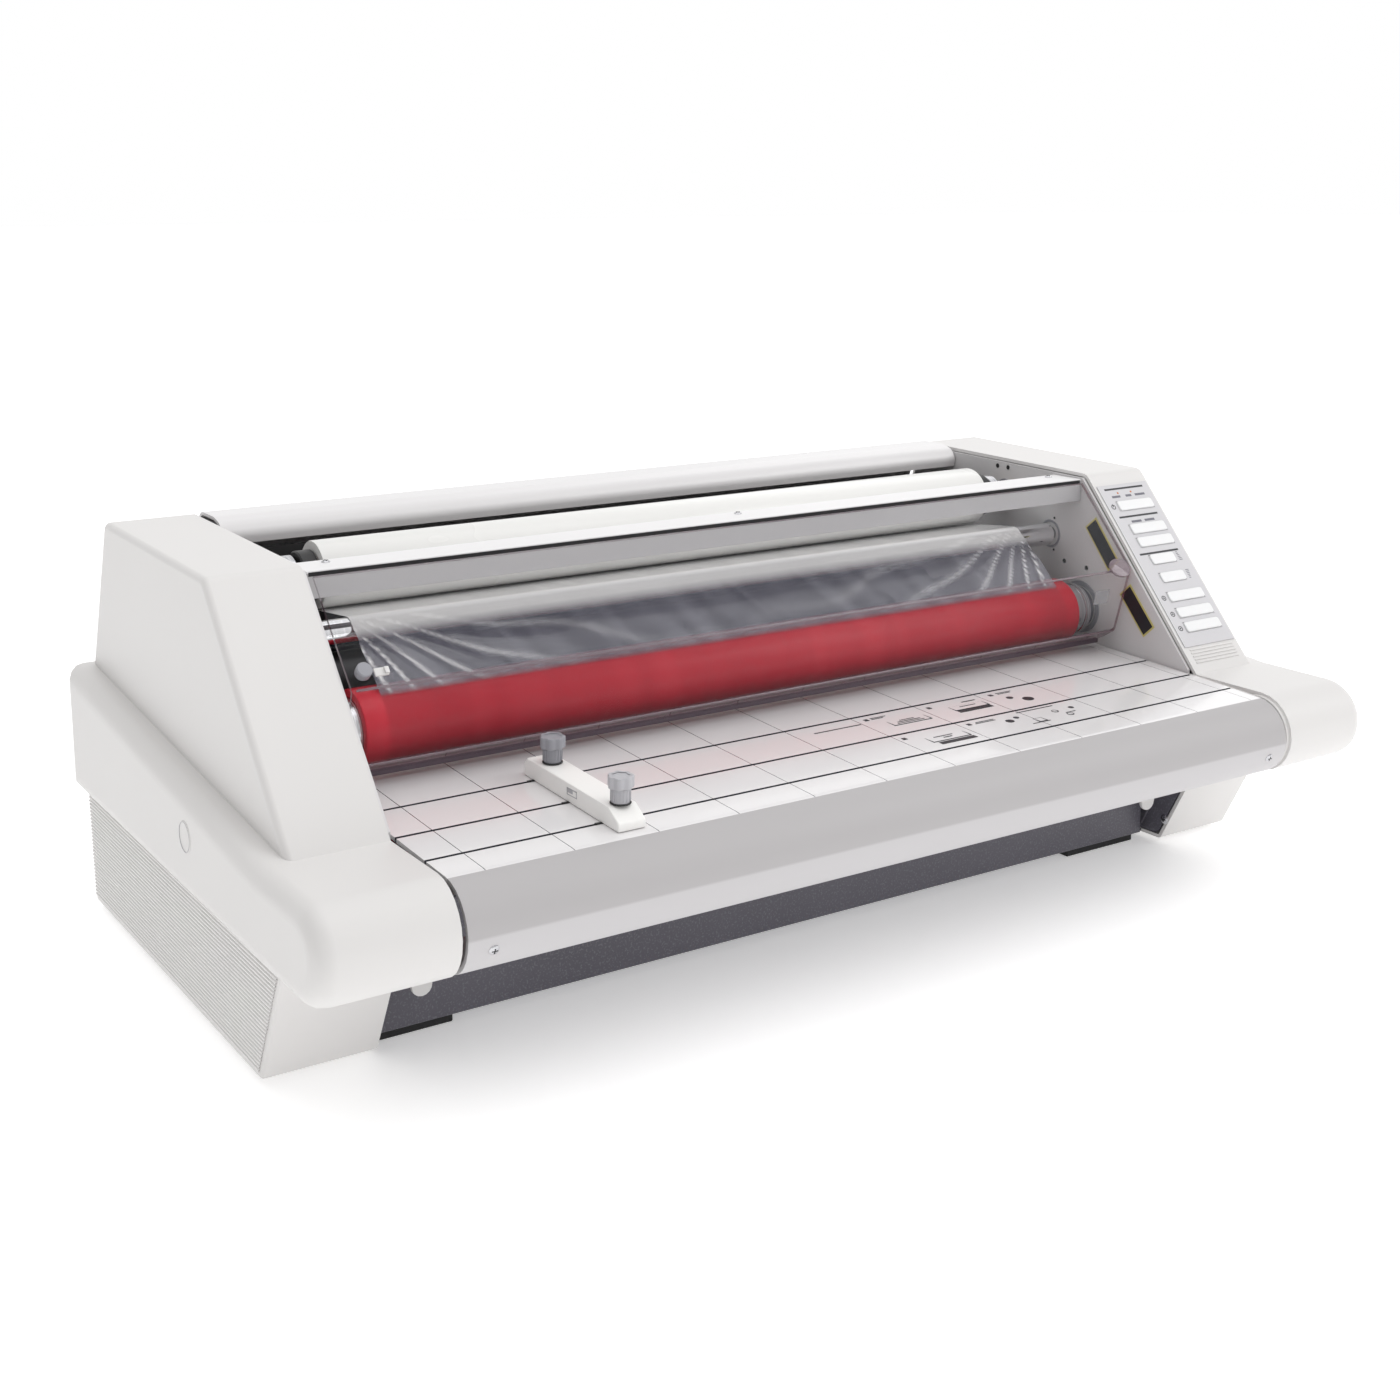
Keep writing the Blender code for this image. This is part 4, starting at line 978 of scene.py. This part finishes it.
def films():
    """The two taut film webs, the upper one a little creased on its free run."""
    radii = [radius + FILM_GAP for radius in (SUPPLY_RADIUS, IDLER_RADIUS, HEAT_RADIUS)]
    circles = list(zip((UPPER_SUPPLY, UPPER_IDLER, UPPER_HEAT), radii, (-1, 1, 1)))
    upper = divided(film_line(circles), FILM_STEP)
    lower = film_line(list(zip((LOWER_SUPPLY, LOWER_IDLER, LOWER_HEAT), radii, (-1, -1, -1))))
    leave, meet = tangent(circles[1], circles[2])
    before = [Vector(point) for point in upper]
    nearest = min(range(len(before)), key=lambda k: (before[k] - leave).length)
    run_start = sum((before[k + 1] - before[k]).length for k in range(nearest))
    run_length = (meet - leave).length

    def wrinkles(x, along):
        """Lift of folds that fan out from the film's upper corners, and the painted highlight along
        their ridges.
        """
        share = (along - run_start) / run_length
        if not 0.0 < share < 1.0:
            return 0.0, 0.0
        inward = FILM_HALF_WIDTH - abs(x)
        to_corner = (share * run_length + 0.016, inward + 0.012)
        fan, far = math.atan2(*to_corner), math.hypot(*to_corner)
        wave = math.sin(fan * 30 + 0.8 * math.sin(far * 45) + (1.3 if x > 0 else 0.0))
        hold = math.exp(-inward / 0.10) * math.sin(math.pi * share) ** 0.6
        sag = 0.0006 * math.sin(x * 31.0 + 1.0) * math.sin(math.pi * share)
        # Painted highlight: whiteness along the fold ridges, kept with each corner of the film.
        fold_glint = max(0.0, wave) ** 5 * math.exp(-inward / 0.11) * min(1.0, 3.5 * (1.0 - share))
        return 0.0009 * hold * wave + sag, fold_glint

    bent_sheet("upper_film", upper, FILM_HALF_WIDTH, FILM_THICKNESS, FILM, "housing",
               ("upper_film_web",), sharp=60, columns=240, relief=wrinkles)
    bent_sheet("lower_film", lower, FILM_HALF_WIDTH, FILM_THICKNESS, FILM, "housing",
               ("lower_film_web",), sharp=60)


# ---------------------------------------------------------------- table, guide and shield

TABLE_SLOPE = 0.04
TABLE_NOSE = Vector((-0.223, 0.125))
COVER_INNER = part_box("right_side_cover")[0].x
TABLE_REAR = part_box("feed_table")[1]


def table_height(y):
    """How high the feed surface is at a place from front to back."""
    return TABLE_REAR.z + TABLE_SLOPE * (y - TABLE_REAR.y)


SYMBOL_LINE = 0.0005
OUTLINE_SIDES = (((0, 0), (1, 0)), ((0, 1), (1, 1)), ((0, 0), (0, 1)), ((1, 0), (1, 1)))
# Each printed bar or box: its middle (x, y), width, depth, and whether it is filled.
TABLE_SYMBOLS = (
    (0.0150, -0.1195, 0.0440, 0.0014, True), (0.0468, -0.1135, 0.0036, 0.0040, True),
    (0.0590, -0.1120, 0.0150, 0.0010, True), (0.0570, -0.1142, 0.0110, 0.0010, True),
    (0.0760, -0.1290, 0.0360, 0.0120, False), (0.0760, -0.1290, 0.0220, 0.0012, True),
    (0.0760, -0.1262, 0.0140, 0.0010, True), (0.0760, -0.1318, 0.0260, 0.0010, True),
    (0.1086, -0.1140, 0.0036, 0.0040, True), (0.1400, -0.1330, 0.0340, 0.0050, True),
    (0.1400, -0.1250, 0.0340, 0.0100, False), (0.1400, -0.1235, 0.0160, 0.0010, True),
    (0.1480, -0.1150, 0.0140, 0.0014, True), (0.1736, -0.1130, 0.0036, 0.0040, True),
    (0.1880, -0.1115, 0.0160, 0.0010, True), (0.1870, -0.1136, 0.0130, 0.0010, True),
    (0.0440, -0.1625, 0.0036, 0.0040, True), (0.0760, -0.1740, 0.0360, 0.0120, False),
    (0.0740, -0.1710, 0.0180, 0.0011, True), (0.0760, -0.1745, 0.0080, 0.0014, True),
    (0.0780, -0.1840, 0.0340, 0.0050, True), (0.1086, -0.1610, 0.0036, 0.0040, True),
    (0.1250, -0.1600, 0.0180, 0.0010, True), (0.1240, -0.1622, 0.0200, 0.0010, True),
    (0.1620, -0.1840, 0.0180, 0.0010, True), (0.1650, -0.1790, 0.0080, 0.0080, False),
    (0.1790, -0.1575, 0.0380, 0.0013, True), (0.2000, -0.1760, 0.0100, 0.0010, True),
)
# Each printed dot or ring: its middle (x, y), radius, and the radius of its hole.
TABLE_BLOBS = (
    (0.1830, -0.1250, 0.0030, 0.0), (0.1945, -0.1340, 0.0048, 0.0), (0.1420, -0.1700, 0.0036, 0.0),
    (0.1520, -0.1660, 0.0024, 0.0), (0.1900, -0.1690, 0.0030, 0.0022),
    (0.2080, -0.1680, 0.0024, 0.0), (0.1960, -0.1800, 0.0030, 0.0022),
)


def feed_table():
    """The feed table with its printed figures, and its two latches."""
    smooth_copy("feed_table", TABLE, sharp=36)
    shape = bmesh.new()
    for x, y, wide, deep, solid in TABLE_SYMBOLS:
        height = table_height(y)
        low = Vector((x - wide / 2, y - deep / 2, height - 0.0004))
        high = Vector((x + wide / 2, y + deep / 2, height + 0.0002))
        if solid:
            add_box(shape, low, high)
            continue
        for start, end in OUTLINE_SIDES:
            add_box(shape, (low.x + start[0] * wide - SYMBOL_LINE / 2,
                            low.y + start[1] * deep - SYMBOL_LINE / 2, low.z),
                    (low.x + end[0] * wide + SYMBOL_LINE / 2,
                     low.y + end[1] * deep + SYMBOL_LINE / 2, high.z))
    for x, y, radius, hole in TABLE_BLOBS:
        low = table_height(y) - 0.0004
        profile = [(0.0, hole), (0.0, radius), (0.0006, radius), (0.0006, hole)]
        spun(shape, profile, (x, y, low), (0, 0, 1), steps=24, closed=hole > 0.0)
    finish_piece("table_symbols", shape, PRINT, "table")
    for node in ("table_latch_left", "table_latch_right"):
        smooth_copy(node, WHITE, bevel=0.0005)


CAP_RADIUS = 0.0089
CAP_FOOT = 0.0108
CAP_HEIGHT = 0.0190 - CAP_FOOT
CAP_LOBES = 7
STEM_FLUTES = 18
STEM_PROFILE = [(0.0008, 0.0), (0.0008, 0.0060), (0.0030, 0.0064), (0.0095, 0.0066),
                (0.0112, 0.0064), (0.0112, 0.0)]
KNOB_COLLAR_PROFILE = [(0.0, 0.0), (0.0, 0.0070), (0.0006, 0.0072), (0.0010, 0.0068),
                       (0.0010, 0.0)]


def scalloped_knob(name, node, body, base, axis, material):
    """A clamping knob: scalloped cap on a fluted stem with a black collar."""
    turn = Matrix.Translation(base) @ Vector(axis).to_track_quat("Z", "Y").to_matrix().to_4x4()
    shape = bmesh.new()
    bmesh.ops.create_circle(shape, cap_ends=True, radius=CAP_RADIUS, segments=12 * CAP_LOBES)
    for vert in shape.verts:
        around = math.atan2(vert.co.y, vert.co.x)
        vert.co *= 1.0 - 0.13 * (0.5 + 0.5 * math.cos(CAP_LOBES * around)) ** 1.5
        vert.co.z = CAP_FOOT
    draw_out(shape, (0, 0, CAP_HEIGHT))
    soften(shape, level_edges(shape), 0.0009, 3)
    top = [face for face in shape.faces
           if face.normal.z > 0.9 and face.calc_center_median().z > CAP_FOOT + 0.9 * CAP_HEIGHT]
    bmesh.ops.inset_region(shape, faces=top, thickness=0.0020, depth=-0.0006)
    bmesh.ops.transform(shape, matrix=turn, verts=shape.verts)
    finish_piece(name, shape, material, body, (node,), sharp=40)
    shape = bmesh.new()
    spun(shape, STEM_PROFILE, base, axis, steps=48)
    for i in range(STEM_FLUTES):
        flute = turn @ Matrix.Rotation(i * math.tau / STEM_FLUTES, 4, "Z")
        add_box(shape, (0.0060, -0.0003, 0.0022), (0.0069, 0.0003, 0.0104), flute)
    finish_piece(f"{name}_stem", shape, material, body)
    turned_piece(f"{name}_collar", KNOB_COLLAR_PROFILE, base, BLACK, body,
                 axis=axis, steps=48)


GUIDE_KNOB_X = -0.2255
GUIDE_RISE = 0.0141
GUIDE_KNOBS = (("rear", -0.1125, KNOB), ("front", -0.203, PALE_KNOB))


def edge_guide():
    """The white edge guide and the two knobs that clamp it."""
    smooth_copy("edge_guide", GUIDE_LIT_WHITE, sharp=40)
    up = Vector((0.0, -TABLE_SLOPE, 1.0)).normalized()
    for which, y, material in GUIDE_KNOBS:
        base = (GUIDE_KNOB_X, y, table_height(y) + GUIDE_RISE)
        scalloped_knob(f"clamp_knob_{which}", f"guide_knob_{which}", f"knob_{which}", base, up,
                       material)


SHIELD_TOP = Vector((-0.0225, 0.3020))
SHIELD_CREASE = Vector((-0.083, 0.236))
SHIELD_BEND = Vector((-0.0665, 0.1795))
SHIELD_FOOT = Vector((-0.0485, 0.1682))
SHIELD_HALF_WIDTH = 0.3580
SHIELD_THICKNESS = 0.0025
SHIELD_KNOB_PROFILE = [(0.0, 0.0), (0.0, 0.0048), (0.0010, 0.0054), (0.0066, 0.0056),
                       (0.0076, 0.0048), (0.0078, 0.0)]


def fold_rod(name, place, radius):
    """The thick line that a fold makes across the clear sheet, drawn as a thin rod in the rims'
    maroon painted reflection.
    """
    half = [(0.3545 - radius, radius), (0.3545, radius * 0.8), (0.3545, 0.0)]
    turned_piece(name, both_ends(half), (0.0, *place), CLEAR_RIM_REFLECTION, "shield",
                 steps=16)


def on_sheet(x, place, down):
    """Axes that lie on a flat part of the shield: X, down the sheet, and outward."""
    turn = Matrix(((1, 0, 0), (0, down.x, down.y), (0, down.y, -down.x))).to_4x4()
    return Matrix.Translation((x, *place)) @ turn


def safety_shield():
    """Clear folded shield with painted-reflection lines along its folds, a clip, a finger tab and
    its knob.
    """
    line = filleted([SHIELD_TOP, SHIELD_CREASE, SHIELD_BEND, SHIELD_FOOT], 0.006, 8)
    bent_sheet("shield_sheet", line, SHIELD_HALF_WIDTH, SHIELD_THICKNESS, (CLEAR, CLEAR_RIM_REFLECTION),
               "shield", ("safety_shield",), corner=0.012)
    fold_rod("shield_fold_upper", SHIELD_CREASE + Vector((-0.0002, 0.0)), 0.0010)
    fold_rod("shield_fold_lower", SHIELD_BEND + Vector((-0.0014, -0.0004)), 0.0008)
    foot = ((-0.3560, SHIELD_FOOT.x - 0.0014, SHIELD_FOOT.y - 0.0036),
            (0.3560, SHIELD_FOOT.x + 0.0010, SHIELD_FOOT.y + 0.0006))
    boxes_piece("shield_foot_strip", [foot], FOOT_STRIP, "shield",
                rounding=0.0004)
    down = (SHIELD_CREASE - SHIELD_TOP).normalized()
    out = Vector((down.y, -down.x))
    turned_piece("shield_latch_knob", SHIELD_KNOB_PROFILE,
                 (-0.348, *(SHIELD_TOP + down * 0.079 + out * 0.0016)), KNOB, "shield_knob",
                 ("shield_knob",), axis=(0.0, *out), steps=48)
    clip = [((-0.0050, -0.0030, 0.0014), (0.0050, 0.0030, 0.0032)),
            ((0.0018, -0.0024, 0.0030), (0.0050, 0.0024, 0.0052))]
    boxes_piece("shield_clip", clip, WHITE, "shield",
                on_sheet(-0.3345, SHIELD_TOP + down * 0.0795, down), 0.0004)
    shape = bmesh.new()
    bmesh.ops.create_circle(shape, cap_ends=True, radius=0.0090, segments=32)
    for vert in shape.verts:
        vert.co.x *= 1.25
    draw_out(shape, (0, 0, 0.0022))
    soften(shape, level_edges(shape), 0.0005)
    tab = on_sheet(0.3440, SHIELD_CREASE + down * -0.0010, down)
    bmesh.ops.transform(shape, matrix=tab @ Matrix.Translation((0, 0, 0.0014)), verts=shape.verts)
    finish_piece("shield_finger_tab", shape, CLEAR_RIM_REFLECTION, "shield")
    down = (SHIELD_BEND - SHIELD_CREASE).normalized()
    boxes_piece("shield_patch", [((-0.0080, -0.0065, 0.0013), (0.0080, 0.0065, 0.0015))],
                FROSTED, "shield",
                on_sheet(0.3300, SHIELD_CREASE + down * 0.0230, down))


# ---------------------------------------------------------------- panels


def screws(name, places, radius, body="housing"):
    """Pan-head screws, each at a place with its outward direction, with crossed slots of painted
    shade: black boxes through the head.
    """
    heads = bmesh.new()
    slot_shade = bmesh.new()
    profile = [(-0.0006, 0.0), (-0.0006, radius), (0.0002, radius), (0.0009, radius * 0.82),
               (0.0013, radius * 0.45), (0.0014, 0.0)]
    long, short = radius * 0.55, radius * 0.11
    for place, out in places:
        spun(heads, profile, place, out, steps=20)
        turn = Matrix.Translation(place) @ Vector(out).to_track_quat("Z", "Y").to_matrix().to_4x4()
        # The black boxes of each cross are painted shade in the screw's slots.
        for wide, deep in ((long, short), (short, long)):
            add_box(slot_shade, (-wide, -deep, 0.0006), (wide, deep, 0.00145), turn)
    finish_piece(name, heads, STEEL, body)
    finish_piece(f"{name}_slots", slot_shade, BLACK, body)


REAR_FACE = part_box("rear_panel")[1].y
REAR_TOP_LINE = [(0.1520, 0.2972), (0.1500, 0.3045), (0.1560, 0.3120), (0.1680, 0.3150),
                 (0.1960, 0.3153), (0.2080, 0.3050), (0.2470, 0.2065)]
LOUVRE_ROWS = 6
LOUVRE_PITCH = 0.011
LOUVRE_LOWEST = 0.040
LOUVRE_COLUMNS = (0.045, 0.105, 0.165)


def panels():
    """Crossbar, frames, front and rear panels, feet and base, with their screws."""
    smooth_copy("front_crossbar", CROSSBAR, bevel=0.0004)
    for node in ("left_side_frame", "right_side_frame"):
        smooth_copy(node, GREY)
    smooth_copy("front_lower_panel", DARK)
    smooth_copy("rear_panel", DARK, bevel=0.0003)
    smooth_copy("inner_baffle", BLACK)
    for node in ("foot_front_left", "foot_front_right", "foot_rear_left", "foot_rear_right"):
        smooth_copy(node, RUBBER)
    smooth_copy("base_plate", DARK)
    bent_sheet("rear_top_shell", filleted(REAR_TOP_LINE, 0.010), 0.3608, 0.0025, PALE, "housing",
               ("rear_top_cover",))
    for node in ("mains_inlet", "rocker_switch", "reset_button"):
        smooth_copy(node, BLACK, bevel=0.0003)
    screws("crossbar_screws", [((x, 0.006, 0.3056), (0, 0, 1)) for x in (-0.337, 0.010, 0.345)],
           0.0032)
    screws("table_screws", [((x, -0.2515, 0.1135), (0, -0.9, -0.42)) for x in (-0.343, 0.343)],
           0.0036, "table")
    rear = [((x, 0.2456, z), (0, 1, 0)) for x in (-0.345, -0.115, 0.115, 0.345)
            for z in (0.020, 0.195)]
    screws("rear_screws", rear, 0.0034)


def rear_vents():
    """Rows of raised louvres low on the rear panel, with black boxes of painted shade in the
    openings under them.
    """
    shape = bmesh.new()
    gaps = bmesh.new()
    for row in range(LOUVRE_ROWS):
        level = LOUVRE_LOWEST + LOUVRE_PITCH * row
        for x in LOUVRE_COLUMNS:
            verts = add_box(shape, (x - 0.024, REAR_FACE, level),
                            (x + 0.024, REAR_FACE + 0.0022, level + 0.0052))
            for vert in verts:
                if vert.co.z < level + 0.001 and vert.co.y > REAR_FACE + 0.001:
                    vert.co.z += 0.0016
            # Black boxes of painted shade in the openings under the louvres.
            add_box(gaps, (x - 0.0225, REAR_FACE - 0.0002, level - 0.0016),
                    (x + 0.0225, REAR_FACE + 0.0003, level + 0.0002))
    soften(shape, shape.edges[:], 0.0005)
    finish_piece("rear_louvres", shape, DARK, "housing")
    finish_piece("rear_louvre_gap_shade", gaps, BLACK, "housing")


PLATE_X = 0.3652
PLATE_OUTLINE = [(0.0300, 0.1030), (-0.1695, 0.1030), (-0.1185, 0.0078), (0.0300, 0.0078)]
PLATE_SCREW = (-0.1258, 0.0222)
FRAME_FACE = 0.3619
SMALL_HOLES = ((0.0141, 0.2659), (0.0139, 0.2369))
HOLES = ((0.0906, 0.3043), (0.0765, 0.3043), *SMALL_HOLES, (0.0002, 0.2287), (-0.0274, 0.2268))
BEARING_RINGS = ((UPPER_IDLER, 0.0105, 0.0128), (LOWER_IDLER, 0.0105, 0.0128),
                 (UPPER_HEAT, 0.0190, 0.0235), (LOWER_HEAT, 0.0190, 0.0235),
                 (UPPER_SUPPLY, 0.0086, 0.0120), (LOWER_SUPPLY, 0.0086, 0.0120))


def chassis_plates():
    """Dark lower side plates that close the covers' bases, each with its screw."""
    outline = filleted(PLATE_OUTLINE, 0.0075)
    for side, label in SIDES:
        shape = bmesh.new()
        shape.faces.new([shape.verts.new((side * PLATE_X, y, z)) for y, z in outline])
        draw_out(shape, (side * 0.0015, 0, 0))
        finish_piece(f"{label}_chassis_plate", shape, DARK, "housing")
        screws(f"{label}_plate_screw", [((side * PLATE_X, *PLATE_SCREW), (-side, 0, 0))], 0.0042)


def blank_plate(name, centre, length, degrees, width=0.0165, border=0.0016):
    """A plain dark plate with a pale edge, on the right frame's inner face."""
    turn = Matrix.Translation((FRAME_FACE, *centre)) @ Matrix.Rotation(
        math.radians(degrees), 4, "X")
    outer = [((-0.0004, -length / 2, -width / 2), (0.0, length / 2, width / 2))]
    boxes_piece(f"{name}_edge", outer, PLATE, "housing", turn)
    inner = [((-0.0006, -length / 2 + border, -width / 2 + border),
              (-0.0003, length / 2 - border, width / 2 - border))]
    boxes_piece(name, inner, PRINT, "housing", turn)


def frame_details():
    """Black discs of painted shade at the frames' holes, bearing rings and blank plates on the
    frames' inner faces, and a black strip of painted shade in the crossbar's front gap.
    """
    blank_plate("upper_blank_plate", (-0.0456, 0.2513), 0.0455, 50.0)
    blank_plate("lower_blank_plate", (-0.0890, 0.1998), 0.0440, 48.0)
    shape = bmesh.new()
    rings = bmesh.new()
    for side in (-1, 1):
        # Each hole is a black disc: painted shade standing for the dark inside the hole.
        for hole in HOLES:
            radius = 0.0012 if hole in SMALL_HOLES else 0.0022
            spun(shape, [(0.0, 0.0), (0.0, radius), (0.0003, radius * 0.9), (0.0003, 0.0)],
                 (side * FRAME_FACE, *hole), (-side, 0, 0), steps=20)
        for centre, inner, outer in BEARING_RINGS:
            profile = [(0.0, inner), (0.0004, inner), (0.0005, outer - 0.0003), (0.0, outer)]
            spun(rings, profile, (side * FRAME_FACE, *centre), (-side, 0, 0), steps=40, closed=True)
    finish_piece("frame_hole_shade", shape, BLACK, "housing")
    finish_piece("bearing_rings", rings, KNOB, "housing")
    # A black strip of painted shade fills the gap between the crossbar's top and the shield's top
    # edge.
    boxes_piece("crossbar_gap_shade", [((-0.3595, -0.0186, 0.3018), (0.3595, -0.0174, 0.3046))],
                RUBBER, "housing")


# Each bar of painted shade round the guide's window and in its corner: from and to along Y, and
# from and to in height.
GUIDE_WINDOW_BARS = (
    (-0.0066, 0.0066, -0.0024, -0.0019), (-0.0066, 0.0066, 0.0018, 0.0026),
    (-0.0066, -0.0060, -0.0024, 0.0026), (0.0058, 0.0066, -0.0024, 0.0026),
    (-0.0010, 0.0060, -0.0006, 0.0020),
)


def guide_details():
    """Black keys at the table's grooves, which also stand as painted shade at the groove ends
    beside the guide, and grey bars of painted shade round the window in the guide's side.
    """
    low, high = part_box("edge_guide")
    # Black keys that reach past the guide's sides: partly keys, partly painted shade at the groove
    # ends.
    keys = [((low.x - 0.0045, y - 0.0010, table_height(y) - 0.0012),
             (high.x + 0.0030, y + 0.0010, table_height(y) + 0.0008))
            for y in TABLE_GROOVES if low.y + 0.004 < y < high.y - 0.004]
    boxes_piece("guide_keys_and_groove_shade", keys, BLACK, "guide")
    middle = (low.y + high.y) / 2 - 0.004
    level = table_height(middle) + 0.0082
    bars = [((low.x - 0.0002, middle + near, level + down),
             (low.x + 0.0008, middle + far, level + up))
            for near, far, down, up in GUIDE_WINDOW_BARS]
    # Grey bars of painted shade round the window and in its corner.
    boxes_piece("guide_window_shade", bars, PALE_KNOB, "guide")


def rail_flange():
    """The right housing's flange, just past the end of the feed table."""
    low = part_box("feed_table")[1].x + 0.0012
    high = COVER_INNER + 0.0004
    shape = bmesh.new()
    spun(shape, [(low, 0.0), (low, 0.0294), (low + 0.0004, 0.0298), (high, 0.0298), (high, 0.0)],
         (0.0, TABLE_NOSE.x, TABLE_NOSE.y), (1, 0, 0), steps=96)
    for vert in add_box(shape, (low, TABLE_NOSE.x, 0.140), (high, -0.1050, 0.160)):
        if vert.co.z > 0.150:
            vert.co.z = table_height(vert.co.y) - 0.0009
    finish_piece("right_rail_flange", shape, WHITE, "housing")


def hidden_works():
    """Finishes for the drive, the control board and the pull rollers."""
    for node, material in (("drive_chain", STEEL), ("drive_motor", DARK),
                           ("control_board", GREEN_BOARD), ("upper_drive_gear", BLACK),
                           ("lower_drive_gear", BLACK)):
        repaint(node, material)
    for node in ("heat_sprocket", "pull_sprocket", "motor_sprocket"):
        smooth_copy(node, STEEL, weighted=False)
    for node in ("upper_pull_roller", "lower_pull_roller"):
        smooth_copy(node, GREY_RUBBER, weighted=False)


# ---------------------------------------------------------------- everything together


def floor():
    shape = bmesh.new()
    bmesh.ops.create_grid(shape, x_segments=1, y_segments=1, size=FLOOR_HALF_SIZE)
    mesh = bpy.data.meshes.new("floor")
    shape.to_mesh(mesh)
    shape.free()
    mesh.materials.append(STUDIO_FLOOR)
    made = bpy.data.objects.new("floor", mesh)
    bpy.context.scene.collection.objects.link(made)


add_camera()
add_world()
for settings in LIGHTS:
    add_area_light(*settings)
floor()
bpy.context.scene.view_settings.view_transform = "Standard"
side_covers()
slope_ribs()
control_panel()
for position, centre, shaft_end in (("upper", UPPER_HEAT, UPPER_HEAT_SHAFT_END),
                                    ("lower", LOWER_HEAT, LOWER_HEAT_SHAFT_END)):
    heated_roller(position, centre, shaft_end)
for position, centre in (("upper", UPPER_IDLER), ("lower", LOWER_IDLER)):
    idler(position, centre)
for position, centre in (("upper", UPPER_SUPPLY), ("lower", LOWER_SUPPLY)):
    supply_roll(position, centre)
films()
feed_table()
edge_guide()
safety_shield()
guide_details()
panels()
rear_vents()
rail_flange()
chassis_plates()
frame_details()
hidden_works()
